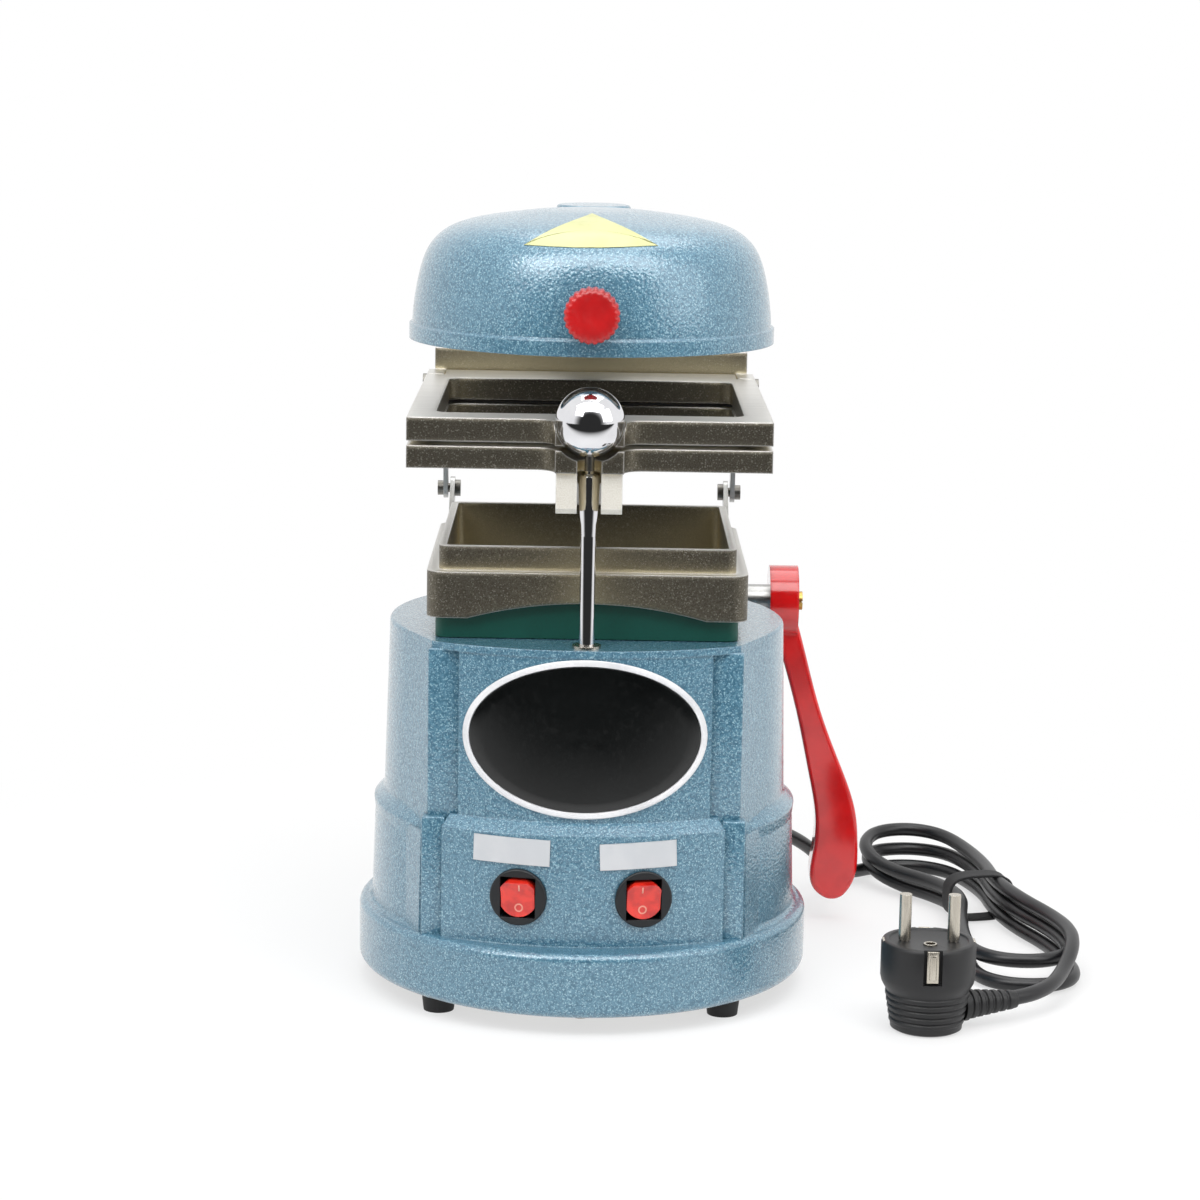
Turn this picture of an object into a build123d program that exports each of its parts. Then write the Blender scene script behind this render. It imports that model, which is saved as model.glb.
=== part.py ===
from build123d import *
import math
import os

os.makedirs("parts", exist_ok=True)

# Driving dimensions, in millimetres. X is right, Y is to the rear, Z is up from the table.
WALL = 3.0
RUN_GAP = 0.06
FIT_GAP = 0.02

# Base casting
PLINTH_R = 91.0
PLINTH_Z0 = 7.4
PLINTH_Z1 = 33.0
PLATE_R = PLINTH_R - 4.5
BODY_R_LOW = PLINTH_R - 5.0
BODY_R_MID = BODY_R_LOW - 1.2
BODY_R_UP = BODY_R_MID - 3.6
BODY_R_TOP = BODY_R_UP - 2.0
BASE_TOP = 148.5
STEP_Z = 74.0
FRONT_CY = 40.0
RECESS_R = PLINTH_R + 18.5
RECESS_Y = FRONT_CY - RECESS_R
PANEL_UP_R = RECESS_R + 4.5
PANEL_UP_HALF = 49.0
PANEL_LOW_R = RECESS_R + 10.0
PANEL_LOW_HALF = PANEL_UP_HALF + 6.0
PANEL_STEP_Z = STEP_Z + 3.0
PANEL_BACK = RECESS_Y + 19.5
RIDGE_X = PANEL_LOW_HALF + 9.0
RIDGE_Y = RECESS_Y + 7.5
FOOT_X = 56.0
FOOT_Y = 55.0
FOOT_R = 6.0
PLATE_SCREW_R = PLATE_R - 5.0

# Forming chamber and the frames over it
CHAMBER_Y = 7.5
CHAMBER_HALF_UP = 57.7
CHAMBER_HALF_LOW = CHAMBER_HALF_UP + 4.6
WELL_HALF = CHAMBER_HALF_UP - 2.9
SLEEVE_HALF = CHAMBER_HALF_LOW - 5.7
SCREW_HALF = WELL_HALF - 14.8
SKIRT_Z = BASE_TOP + 8.5
LEDGE_Z = SKIRT_Z + 18.0
RIM_Z = LEDGE_Z + 9.5
PLATE_Z = BASE_TOP + 11.5
TRAVEL = 41.8
LOWER_Z0 = LEDGE_Z + TRAVEL + 0.5
LOWER_Z1 = LOWER_Z0 + 8.5
UPPER_Z0 = LOWER_Z1 + 1.9
UPPER_Z1 = UPPER_Z0 + 8.9
OPEN_HALF = CHAMBER_HALF_UP + 1.5
OPEN_Y0 = CHAMBER_Y - CHAMBER_HALF_UP - 1.8
OPEN_Y1 = CHAMBER_Y + CHAMBER_HALF_UP + 1.8
FRAME_HALF = OPEN_HALF + 10.3
FRAME_FRONT = OPEN_Y0 - 17.0
EAR_X = FRAME_HALF - 3.6
HINGE_Y = OPEN_Y1 + 24.0
HINGE_Z = UPPER_Z0 + 4.3
BEAM_Y0 = OPEN_Y1 + 33.0
BEAM_Y1 = BEAM_Y0 + 8.0
BEAM_TOP = UPPER_Z1 + 9.2
BALL_Y = FRAME_FRONT - 5.0
BALL_Z = UPPER_Z1 - 0.2
BALL_R = 13.2
STUD_R = 1.9
FORK_GAP = 4.6
ROD_Y = FRAME_FRONT + 2.0
ROD_R = 3.1
TENON_R = 2.0
ROD_END = BASE_TOP - 48.5

# Column, pedestal and heater head
COLUMN_Y = BEAM_Y1 + 9.0
COLUMN_R = 9.0
PEDESTAL_R = 18.0
PEDESTAL_TOP = BASE_TOP + 11.5
DOME_R = 72.4
DOME_Z0 = BEAM_TOP + 14.8
KNOB_Z = DOME_Z0 + 16.4
ELEMENT_Z = DOME_Z0 + 17.4
ELEMENT_RINGS = (22.0, 40.0)

# Lever and linkage
SHAFT_Y = COLUMN_Y - 33.0
SHAFT_Z = PEDESTAL_TOP - 19.0
SHAFT_R = 6.8
LINK_Y = BEAM_Y1 + 10.0
LINK_Z = LOWER_Z0 + 4.2
CRANK_Y = LINK_Y + 8.0
CRANK_Z = SHAFT_Z + 40.4
CRANK_X = EAR_X - 5.9
LINK_X = EAR_X - 2.9
LEVER_X = PLINTH_R - 13.1
LEVER_HALF = 7.0
LEVER_ROUND = 1.5

# Vacuum motor
MOTOR_R = 48.0
MOTOR_TOP = BASE_TOP - 18.5

# Front fittings
SWITCHES = {"left": -24.6, "right": 23.4}
SWITCH_Z = 52.3
LABELS = {"left": (-27.5, 70.5, -1.3), "right": (21.3, 69.6, 2.1)}
BADGE_Z = 113.9

# Mains lead
GLAND_Z = 42.5
GLAND_DIR = (0.682, 0.7314, 0.0)
CORD_R = 3.0
CORD_START = [
    (51.8, 55.6, 42.5),
    (76.4, 81.93, 42.5),
    (96.0, 104.0, 31.0),
    (110.0, 125.0, 18.5),
    (122.5, 142.0, 12.6),
]
CORD_TAIL = [(154.2, -66.0, 9.0), (172.5, -60.9, 9.0), (185.9, -46.75, 9.8), (190.4, -28.0, 10.4)]
HANK_OUTLINE = [
    (128, 150),
    (140, 171),
    (164, 168),
    (184, 128),
    (188, 92),
    (203, 48),
    (206, 4),
    (190, -25),
    (168, -20),
    (158, 24),
    (158, 84),
    (138, 116),
]
HANK_HEIGHT = 22.0
TIE_PLANE = Plane(origin=(173, 84, 11.2), x_dir=(0.97, 0.24, 0), z_dir=(-0.24, 0.97, 0))
PLUG_X = 135.0
PLUG_Y = -70.0
PLUG_R = 18.6
PLUG_TOP = 36.0
PIN_X = 9.5
PIN_R = 2.4
PIN_LENGTH = 18.0
PIN_ROOT_R = 1.9


def front_y(radius, x):
    """Y of the front arc of this radius at one X."""
    return FRONT_CY - math.sqrt(radius * radius - x * x)


def run_radii(points):
    """One arc radius per inner corner, from its shorter run and its turn."""
    radii = []
    for before, here, after in zip(points, points[1:], points[2:]):
        first = Vector(*here) - Vector(*before)
        second = Vector(*after) - Vector(*here)
        turn = math.radians(first.get_angle(second))
        radii.append(round(0.45 * min(first.length, second.length) / math.tan(turn / 2), 2))
    return radii


def switch_plane(x):
    """Tangent plane of the lower panel at one switch, facing out."""
    turn = math.asin(x / PANEL_LOW_R)
    across = (math.cos(turn), math.sin(turn), 0)
    outward = (math.sin(turn), -math.cos(turn), 0)
    return Plane(origin=(x, front_y(PANEL_LOW_R, x), SWITCH_Z), x_dir=across, z_dir=outward)


def gland_plane():
    """Plane through the base axis whose normal runs out along the cord gland."""
    return Plane(origin=(0, 0, GLAND_Z), x_dir=(0, 0, 1), z_dir=GLAND_DIR)


def cord_tube(points, radius):
    """A round cord along straight runs with tangent arcs."""
    radii = run_radii(points)
    print("cord arc radii, mm:", radii)
    with BuildPart() as tube:
        with BuildLine():
            FilletPolyline(*points, radius=radii)
        start = Vector(*points[0])
        with BuildSketch(Plane(origin=start, z_dir=Vector(*points[1]) - start)):
            Circle(radius)
        sweep()
    return tube


def panel_sketch(half, radius, back):
    """Plan of a front panel: straight sides and back, arced front."""
    edge = front_y(radius, half)
    with BuildLine() as outline:
        ThreePointArc((-half, edge), (0, FRONT_CY - radius), (half, edge))
        Polyline((half, edge), (half, back), (-half, back), (-half, edge))
    make_face(outline.edges())


def ridge_sketch(side, inward, back):
    """Plan of one vertical ridge beside the front panel, drawn in and back as it rises."""
    with BuildLine() as outline:
        Polyline(
            (side * (RIDGE_X - inward), RIDGE_Y + 1.1 * back),
            (side * (RIDGE_X + 12 - 1.15 * inward), RIDGE_Y + 24 + 0.8 * back),
            (side * (RIDGE_X - 4 - 0.7 * inward), RIDGE_Y + 24 + 0.8 * back),
            (side * (RIDGE_X - 4 - 0.7 * inward), RIDGE_Y + 2 + back),
            close=True,
        )
    make_face(outline.edges())


def frame_plate_sketch(rear):
    """Plan of a clamping frame with its sheet opening and its front lug."""
    with BuildLine() as outline:
        Polyline((21, FRAME_FRONT), (FRAME_HALF, FRAME_FRONT), (FRAME_HALF, rear))
        Polyline((FRAME_HALF, rear), (-FRAME_HALF, rear), (-FRAME_HALF, FRAME_FRONT), (-21, FRAME_FRONT))
        ThreePointArc((-21, FRAME_FRONT), (-15.34, FRAME_FRONT - 2.34), (-13, FRAME_FRONT - 8))
        Polyline((-13, FRAME_FRONT - 8), (-13, FRAME_FRONT - 9), (13, FRAME_FRONT - 9), (13, FRAME_FRONT - 8))
        ThreePointArc((13, FRAME_FRONT - 8), (15.34, FRAME_FRONT - 2.34), (21, FRAME_FRONT))
    make_face(outline.edges())
    with Locations((0, (OPEN_Y0 + OPEN_Y1) / 2)):
        RectangleRounded(2 * OPEN_HALF, OPEN_Y1 - OPEN_Y0, 5, mode=Mode.SUBTRACT)


def strap(x0, x1, lower, upper, half_width):
    """A flat link between two pin centres given as (Y, Z), standing in a plane of constant X."""
    middle = ((lower[0] + upper[0]) / 2, (lower[1] + upper[1]) / 2)
    angle = math.degrees(math.atan2(upper[1] - lower[1], upper[0] - lower[0]))
    length = math.dist(lower, upper)
    with BuildSketch(Plane(origin=(x0, 0, 0), x_dir=(0, 1, 0), z_dir=(1, 0, 0))) as outline:
        with Locations(middle):
            SlotCenterToCenter(length, 2 * half_width, rotation=angle)
    extrude(outline.sketch, amount=x1 - x0)


def pin_x(x0, x1, y, z, radius, mode=Mode.ADD):
    """A round bar along X."""
    with BuildSketch(Plane(origin=(x0, y, z), x_dir=(0, 1, 0), z_dir=(1, 0, 0))) as outline:
        Circle(radius)
    extrude(outline.sketch, amount=x1 - x0, mode=mode)


def disc_z(x, y, z0, z1, radius, mode=Mode.ADD):
    """A round bar along Z."""
    with BuildSketch(Plane.XY.offset(z0)) as outline:
        with Locations((x, y)):
            Circle(radius)
    extrude(outline.sketch, amount=z1 - z0, mode=mode)


# ---------------------------------------------------------------- base casting
with BuildPart() as hollow:
    with BuildSketch(Plane.XZ):
        Polygon(
            (0, PLINTH_Z0 - 1),
            (PLATE_R, PLINTH_Z0 - 1),
            (PLATE_R, PLINTH_Z0 + 4.6),
            (BODY_R_LOW - WALL, PLINTH_Z0 + 4.6),
            (BODY_R_LOW - WALL - 0.4, PLINTH_Z1 - 3),
            (BODY_R_MID - WALL - 0.2, STEP_Z - 4),
            (BODY_R_UP - WALL - 0.2, STEP_Z + 3),
            (BODY_R_TOP - WALL, BASE_TOP - WALL),
            (0, BASE_TOP - WALL),
            align=None,
        )
    revolve(axis=Axis.Z)
    with BuildSketch(Plane.XY.offset(PLINTH_Z0 - 2)):
        with Locations((0, FRONT_CY)):
            Rectangle(5 * PLINTH_R, 5 * PLINTH_R)
            Circle(RECESS_R - WALL, mode=Mode.SUBTRACT)
    extrude(amount=BASE_TOP, mode=Mode.SUBTRACT)
    with BuildSketch(Plane.XY.offset(PLINTH_Z0 - 1)):
        Circle(PLATE_R)
    extrude(amount=5.6)
    with BuildSketch(Plane.XY.offset(PLINTH_Z1 + 5)):
        panel_sketch(PANEL_LOW_HALF - 10, PANEL_LOW_R - 4, PANEL_BACK - 5)
    extrude(amount=PANEL_STEP_Z - PLINTH_Z1 - 11)
    disc_z(0, ROD_Y, ROD_END - TRAVEL - 13.2, BASE_TOP - WALL, ROD_R + 1.5)
    with BuildSketch(Plane.XY.offset(PLINTH_Z0 - 1)):
        with Locations((0, COLUMN_Y - 19)):
            Rectangle(2 * PEDESTAL_R - 8, 38)
        with Locations((0, COLUMN_Y)):
            Circle(PEDESTAL_R - 4)
    extrude(amount=PEDESTAL_TOP - 33 - PLINTH_Z0)

with BuildPart() as base_housing:
    with BuildSketch(Plane.XZ):
        with BuildLine():
            FilletPolyline(
                (0, BASE_TOP),
                (BODY_R_TOP, BASE_TOP),
                (BODY_R_UP, STEP_Z + 5),
                (BODY_R_MID + 0.6, STEP_Z + 1),
                (BODY_R_MID, STEP_Z - 4),
                (BODY_R_LOW, PLINTH_Z1),
                (PLINTH_R, PLINTH_Z1),
                (PLINTH_R, PLINTH_Z0),
                (0, PLINTH_Z0),
                radius=[1.4, 2.0, 1.6, 2.0, 2.0, 3.0, 4.0],
            )
            Line((0, PLINTH_Z0), (0, BASE_TOP))
        make_face()
    revolve(axis=Axis.Z)
    for side in (-1, 1):
        with BuildSketch(Plane.XY.offset(PLINTH_Z1 - 6)):
            ridge_sketch(side, 0.0, 0.0)
        with BuildSketch(Plane.XY.offset(STEP_Z)):
            ridge_sketch(side, 0.8, 0.8)
        loft()
        with BuildSketch(Plane.XY.offset(STEP_Z)):
            ridge_sketch(side, 2.8, 2.2)
        with BuildSketch(Plane.XY.offset(BASE_TOP - WALL)):
            ridge_sketch(side, 4.3, 3.6)
        loft()
    with BuildSketch(Plane.XY.offset(PLINTH_Z1)):
        with Locations((0, RIDGE_Y + 2)):
            Rectangle(2 * RIDGE_X - 10, 60)
        with Locations((0, FRONT_CY)):
            Circle(RECESS_R, mode=Mode.SUBTRACT)
    extrude(amount=BASE_TOP, mode=Mode.SUBTRACT)
    with BuildSketch(Plane.XY.offset(PLINTH_Z1 - 1)):
        panel_sketch(PANEL_LOW_HALF, PANEL_LOW_R, PANEL_BACK)
    extrude(amount=PANEL_STEP_Z - PLINTH_Z1 + 1)
    with BuildSketch(Plane.XY.offset(PANEL_STEP_Z)):
        panel_sketch(PANEL_LOW_HALF, PANEL_LOW_R, PANEL_BACK)
    with BuildSketch(Plane.XY.offset(PANEL_STEP_Z + 4)):
        panel_sketch(PANEL_LOW_HALF - 3, PANEL_UP_R, PANEL_BACK)
    loft()
    with BuildSketch(Plane.XY.offset(PANEL_STEP_Z)):
        panel_sketch(PANEL_UP_HALF, PANEL_UP_R, PANEL_BACK)
    extrude(amount=BASE_TOP - WALL - PANEL_STEP_Z)
    with BuildSketch(Plane.XY.offset(BASE_TOP - WALL)):
        with BuildLine():
            near = (RIDGE_X - 4.3, RIDGE_Y + 4)
            far = (RIDGE_X + 7, RIDGE_Y + 27)
            ThreePointArc((-near[0], near[1]), (0, FRONT_CY - PANEL_UP_R - 0.2), near)
            Polyline(near, far, (-far[0], far[1]), (-near[0], near[1]))
        make_face()
    extrude(amount=WALL)
    with BuildSketch(Plane.XY.offset(PLINTH_Z0)):
        with Locations((0, COLUMN_Y - 27)):
            Rectangle(2 * PEDESTAL_R, 54)
        with Locations((0, COLUMN_Y)):
            Circle(PEDESTAL_R)
    extrude(amount=PEDESTAL_TOP - PLINTH_Z0)
    fillet(base_housing.edges().group_by(Axis.Z)[-1], 2.5)
    with BuildSketch(Plane.XY.offset(BASE_TOP)):
        with Locations((0, COLUMN_Y - 51)):
            Rectangle(60, 14)
    extrude(amount=20, mode=Mode.SUBTRACT)
    add(hollow.part, mode=Mode.SUBTRACT)
    disc_z(0, COLUMN_Y, PEDESTAL_TOP - 60, PEDESTAL_TOP + 40, COLUMN_R + FIT_GAP, mode=Mode.SUBTRACT)
    pin_x(-30, 30, SHAFT_Y, SHAFT_Z, SHAFT_R + 1.5, mode=Mode.SUBTRACT)
    disc_z(0, ROD_Y, BASE_TOP - 10, BASE_TOP + 1, ROD_R + 1.1, mode=Mode.SUBTRACT)
    disc_z(0, CHAMBER_Y, BASE_TOP - 10, BASE_TOP + 1, 18, mode=Mode.SUBTRACT)
    for side in (-1, 1):
        pin_x(side * PEDESTAL_R, side * 30, SHAFT_Y, SHAFT_Z, SHAFT_R + 2.4, mode=Mode.SUBTRACT)
    for x in SWITCHES.values():
        with BuildSketch(switch_plane(x).offset(-20)):
            Circle(10.5)
        extrude(amount=40, mode=Mode.SUBTRACT)
    with BuildSketch(gland_plane()):
        Circle(5.05)
    extrude(amount=100, mode=Mode.SUBTRACT)
    for z in (STEP_Z - 24, STEP_Z - 17, STEP_Z - 10):
        for side in (-1, 1):
            with BuildSketch(Plane(origin=(0, 0, z), x_dir=(0, 1, 0), z_dir=(side, 0, 0))):
                with Locations((28, 0)):
                    SlotOverall(36, 2.6)
            extrude(amount=100, mode=Mode.SUBTRACT)
base_housing.part.label = "base_housing"
export_step(base_housing.part, "parts/base_housing.step")

with BuildPart() as bottom_plate:
    with BuildSketch(Plane.XY.offset(PLINTH_Z0 + 1.0)):
        Circle(PLATE_R - 0.3)
        with PolarLocations(60, 12):
            SlotOverall(18, 4, mode=Mode.SUBTRACT)
        with PolarLocations(40, 8, start_angle=22.5):
            SlotOverall(14, 4, mode=Mode.SUBTRACT)
        with PolarLocations(PLATE_SCREW_R, 6, start_angle=30):
            Circle(1.9, mode=Mode.SUBTRACT)
        with Locations(*[(x, y) for x in (-FOOT_X, FOOT_X) for y in (-FOOT_Y, FOOT_Y)]):
            Circle(2.6, mode=Mode.SUBTRACT)
    extrude(amount=1.6)
bottom_plate.part.label = "bottom_plate"
export_step(bottom_plate.part, "parts/bottom_plate.step")

with BuildPart() as plate_screws:
    with BuildSketch(Plane.XY.offset(PLINTH_Z0 - 1.2)):
        with PolarLocations(PLATE_SCREW_R, 6, start_angle=30):
            Circle(3.2)
    extrude(amount=2.2)
    with BuildSketch(Plane.XY.offset(PLINTH_Z0 + 1.0)):
        with PolarLocations(PLATE_SCREW_R, 6, start_angle=30):
            Circle(1.6)
    extrude(amount=3.2)
plate_screws.part.label = "plate_screws"
export_step(plate_screws.part, "parts/plate_screws.step")

with BuildPart() as rubber_feet:
    for x in (-FOOT_X, FOOT_X):
        for y in (-FOOT_Y, FOOT_Y):
            with BuildSketch(Plane.XY):
                with Locations((x, y)):
                    Circle(FOOT_R)
            with BuildSketch(Plane.XY.offset(PLINTH_Z0 + 0.7)):
                with Locations((x, y)):
                    Circle(FOOT_R + 1)
            loft()
            disc_z(x, y, PLINTH_Z0 + 0.7, PLINTH_Z0 + 4.0, 2.2)
            disc_z(x, y, PLINTH_Z0 + 2.9, PLINTH_Z0 + 4.6, 4.4)
rubber_feet.part.label = "rubber_feet"
export_step(rubber_feet.part, "parts/rubber_feet.step")

# ---------------------------------------------------------------- vacuum parts
with BuildPart() as vacuum_motor:
    disc_z(0, CHAMBER_Y, PLINTH_Z0 + 14.6, MOTOR_TOP - 12, MOTOR_R)
    fillet(vacuum_motor.edges().group_by(Axis.Z)[0], 4)
    disc_z(0, CHAMBER_Y, MOTOR_TOP - 36, MOTOR_TOP, 30)
    disc_z(0, CHAMBER_Y, MOTOR_TOP - 38, MOTOR_TOP - 15, MOTOR_R - WALL, mode=Mode.SUBTRACT)
    disc_z(0, CHAMBER_Y, MOTOR_TOP - 16, MOTOR_TOP + 1, 16, mode=Mode.SUBTRACT)
    disc_z(0, CHAMBER_Y, MOTOR_TOP - 40, MOTOR_TOP - 18, 3.0)
    with Locations((0, CHAMBER_Y, MOTOR_TOP - 30)):
        with PolarLocations(MOTOR_R, 10):
            Box(8, 7, 10, mode=Mode.SUBTRACT)
    for angle in (40, 160, 280):
        x = (MOTOR_R + 4) * math.cos(math.radians(angle))
        y = CHAMBER_Y + (MOTOR_R + 4) * math.sin(math.radians(angle))
        disc_z(x, y, PLINTH_Z0 + 2.6, PLINTH_Z0 + 22.6, 7)
        inner_x = x - 3 * math.cos(math.radians(angle))
        with Locations(Location((inner_x, y, PLINTH_Z0 + 18.6), (0, 0, angle))):
            Box(14, 9, 8)
vacuum_motor.part.label = "vacuum_motor"
export_step(vacuum_motor.part, "parts/vacuum_motor.step")

with BuildPart() as motor_fan:
    disc_z(0, CHAMBER_Y, MOTOR_TOP - 33, MOTOR_TOP - 31.4, MOTOR_R - 6)
    disc_z(0, CHAMBER_Y, MOTOR_TOP - 33, MOTOR_TOP - 20, 6)
    disc_z(0, CHAMBER_Y, MOTOR_TOP - 34, MOTOR_TOP - 19, 3.0 + RUN_GAP, mode=Mode.SUBTRACT)
    for index in range(9):
        angle = 40 * index
        around = Location((0, CHAMBER_Y, MOTOR_TOP - 26.6), (0, 0, angle))
        with Locations(around * Location((24, 0, 0), (0, 0, 28))):
            Box(30, 1.4, 10)
motor_fan.part.label = "motor_fan"
export_step(motor_fan.part, "parts/motor_fan.step")

with BuildPart() as motor_seal:
    with BuildSketch(Plane.XY.offset(MOTOR_TOP + 0.3)):
        with Locations((0, CHAMBER_Y)):
            Circle(28)
            Circle(19, mode=Mode.SUBTRACT)
    extrude(amount=BASE_TOP - WALL - MOTOR_TOP - 0.6)
motor_seal.part.label = "motor_seal"
export_step(motor_seal.part, "parts/motor_seal.step")

with BuildPart() as forming_chamber:
    with BuildSketch(Plane.XY.offset(SKIRT_Z)):
        with Locations((0, CHAMBER_Y)):
            RectangleRounded(2 * CHAMBER_HALF_LOW, 2 * CHAMBER_HALF_LOW, 7)
    extrude(amount=LEDGE_Z - SKIRT_Z)
    with BuildSketch(Plane.XY.offset(LEDGE_Z)):
        with Locations((0, CHAMBER_Y)):
            RectangleRounded(2 * CHAMBER_HALF_UP, 2 * CHAMBER_HALF_UP, 4)
    extrude(amount=RIM_Z - LEDGE_Z)
    with BuildSketch(Plane.XY.offset(SKIRT_Z - 1)):
        with Locations((0, CHAMBER_Y)):
            RectangleRounded(2 * (CHAMBER_HALF_LOW - 3), 2 * (CHAMBER_HALF_LOW - 3), 4.5)
            RectangleRounded(2 * SLEEVE_HALF, 2 * SLEEVE_HALF, 3, mode=Mode.SUBTRACT)
    extrude(amount=LEDGE_Z - 3.5 - SKIRT_Z + 1, mode=Mode.SUBTRACT)
    with BuildSketch(Plane.XZ.offset(-100)):
        with BuildLine():
            near = (15.3 - CHAMBER_HALF_LOW, SKIRT_Z - 0.2)
            far = (CHAMBER_HALF_LOW - 15.3, SKIRT_Z - 0.2)
            ThreePointArc(near, (0, SKIRT_Z + 6.3), far)
            Line(far, near)
        make_face()
    extrude(amount=200, mode=Mode.SUBTRACT)
    with BuildSketch(Plane.YZ.offset(-100)):
        with BuildLine():
            near = (CHAMBER_Y - CHAMBER_HALF_LOW + 15.3, SKIRT_Z - 0.2)
            far = (CHAMBER_Y + CHAMBER_HALF_LOW - 15.3, SKIRT_Z - 0.2)
            ThreePointArc(near, (CHAMBER_Y, SKIRT_Z + 6.3), far)
            Line(far, near)
        make_face()
    extrude(amount=200, mode=Mode.SUBTRACT)
    with BuildSketch(Plane.XY.offset(BASE_TOP + 3)):
        with Locations((0, CHAMBER_Y)):
            RectangleRounded(2 * SLEEVE_HALF, 2 * SLEEVE_HALF, 3)
    extrude(amount=20)
    with BuildSketch(Plane.XY.offset(PLATE_Z)):
        with Locations((0, CHAMBER_Y)):
            RectangleRounded(2 * WELL_HALF, 2 * WELL_HALF, 2.2)
    extrude(amount=40, mode=Mode.SUBTRACT)
    with BuildSketch(Plane.XY.offset(BASE_TOP + 6)):
        with Locations((0, CHAMBER_Y)):
            RectangleRounded(2 * WELL_HALF - 8.6, 2 * WELL_HALF - 8.6, 2.2)
    extrude(amount=10, mode=Mode.SUBTRACT)
    for x in (-SCREW_HALF, SCREW_HALF):
        for y in (CHAMBER_Y - SCREW_HALF, CHAMBER_Y + SCREW_HALF):
            disc_z(x, y, BASE_TOP, BASE_TOP + 3.5, 6)
            disc_z(x, y, BASE_TOP - 1, BASE_TOP + 6.5, 2.2, mode=Mode.SUBTRACT)
    disc_z(0, CHAMBER_Y, BASE_TOP + 1.5, BASE_TOP + 7.5, 17, mode=Mode.SUBTRACT)
forming_chamber.part.label = "forming_chamber"
export_step(forming_chamber.part, "parts/forming_chamber.step")

with BuildPart() as chamber_gasket:
    with BuildSketch(Plane.XY.offset(BASE_TOP + 0.3)):
        with Locations((0, CHAMBER_Y)):
            RectangleRounded(2 * SLEEVE_HALF + 4.6, 2 * SLEEVE_HALF + 4.6, 4.2)
            RectangleRounded(2 * SLEEVE_HALF + 0.6, 2 * SLEEVE_HALF + 0.6, 3, mode=Mode.SUBTRACT)
    extrude(amount=17)
    with BuildSketch(Plane.XY.offset(BASE_TOP + 0.3)):
        with Locations((0, CHAMBER_Y)):
            RectangleRounded(2 * SLEEVE_HALF + 2.8, 2 * SLEEVE_HALF + 2.8, 4.0)
            RectangleRounded(2 * SLEEVE_HALF - 13.2, 2 * SLEEVE_HALF - 13.2, 3, mode=Mode.SUBTRACT)
    extrude(amount=2.4)
chamber_gasket.part.label = "chamber_gasket"
export_step(chamber_gasket.part, "parts/chamber_gasket.step")

with BuildPart() as perforated_plate:
    rows = 2 * int((WELL_HALF - 6) / 11) + 1
    with BuildSketch(Plane.XY.offset(PLATE_Z)):
        with Locations((0, CHAMBER_Y)):
            RectangleRounded(2 * WELL_HALF - 0.8, 2 * WELL_HALF - 0.8, 2)
            with GridLocations(11, 11, rows, rows):
                RegularPolygon(1.7, 8, mode=Mode.SUBTRACT)
    extrude(amount=1.2)
perforated_plate.part.label = "perforated_plate"
export_step(perforated_plate.part, "parts/perforated_plate.step")

with BuildPart() as chamber_screws:
    for x in (-SCREW_HALF, SCREW_HALF):
        for y in (CHAMBER_Y - SCREW_HALF, CHAMBER_Y + SCREW_HALF):
            disc_z(x, y, BASE_TOP + 0.05, BASE_TOP + 6.1, 2.0)
            disc_z(x, y, BASE_TOP + 6, BASE_TOP + 8.7, 3.8)
chamber_screws.part.label = "chamber_screws"
export_step(chamber_screws.part, "parts/chamber_screws.step")

# ---------------------------------------------------------------- column and bushes
with BuildPart() as column:
    disc_z(0, COLUMN_Y, PEDESTAL_TOP - 48, DOME_Z0 + 37.4, COLUMN_R)
    disc_z(0, COLUMN_Y, PEDESTAL_TOP - 49, DOME_Z0 + 38.4, COLUMN_R - 3.5, mode=Mode.SUBTRACT)
    fillet(column.edges().group_by(Axis.Z)[-1].sort_by(SortBy.RADIUS)[-1], 1.2)
column.part.label = "column"
export_step(column.part, "parts/column.step")

with BuildPart() as column_nut:
    with BuildSketch(Plane.XY.offset(PEDESTAL_TOP - 42.2)):
        with Locations((0, COLUMN_Y)):
            RegularPolygon(COLUMN_R + 4.2, 6)
            Circle(COLUMN_R + FIT_GAP, mode=Mode.SUBTRACT)
    extrude(amount=8)
column_nut.part.label = "column_nut"
export_step(column_nut.part, "parts/column_nut.step")

with BuildPart() as rod_bush:
    disc_z(0, ROD_Y, BASE_TOP - 9, BASE_TOP, ROD_R + 1.05)
    disc_z(0, ROD_Y, BASE_TOP, BASE_TOP + 1.2, ROD_R + 2.5)
    disc_z(0, ROD_Y, BASE_TOP - 10, BASE_TOP + 2, ROD_R + RUN_GAP, mode=Mode.SUBTRACT)
rod_bush.part.label = "rod_bush"
export_step(rod_bush.part, "parts/rod_bush.step")

with BuildPart() as shaft_bushes:
    for side in (-1, 1):
        inner = side * (PEDESTAL_R - 8)
        pin_x(min(inner, side * PEDESTAL_R), max(inner, side * PEDESTAL_R), SHAFT_Y, SHAFT_Z, SHAFT_R + 1.45)
        flange = side * (PEDESTAL_R + 2)
        pin_x(min(flange, side * PEDESTAL_R), max(flange, side * PEDESTAL_R), SHAFT_Y, SHAFT_Z, SHAFT_R + 2.2)
    pin_x(-40, 40, SHAFT_Y, SHAFT_Z, SHAFT_R + RUN_GAP, mode=Mode.SUBTRACT)
shaft_bushes.part.label = "shaft_bushes"
export_step(shaft_bushes.part, "parts/shaft_bushes.step")

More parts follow.
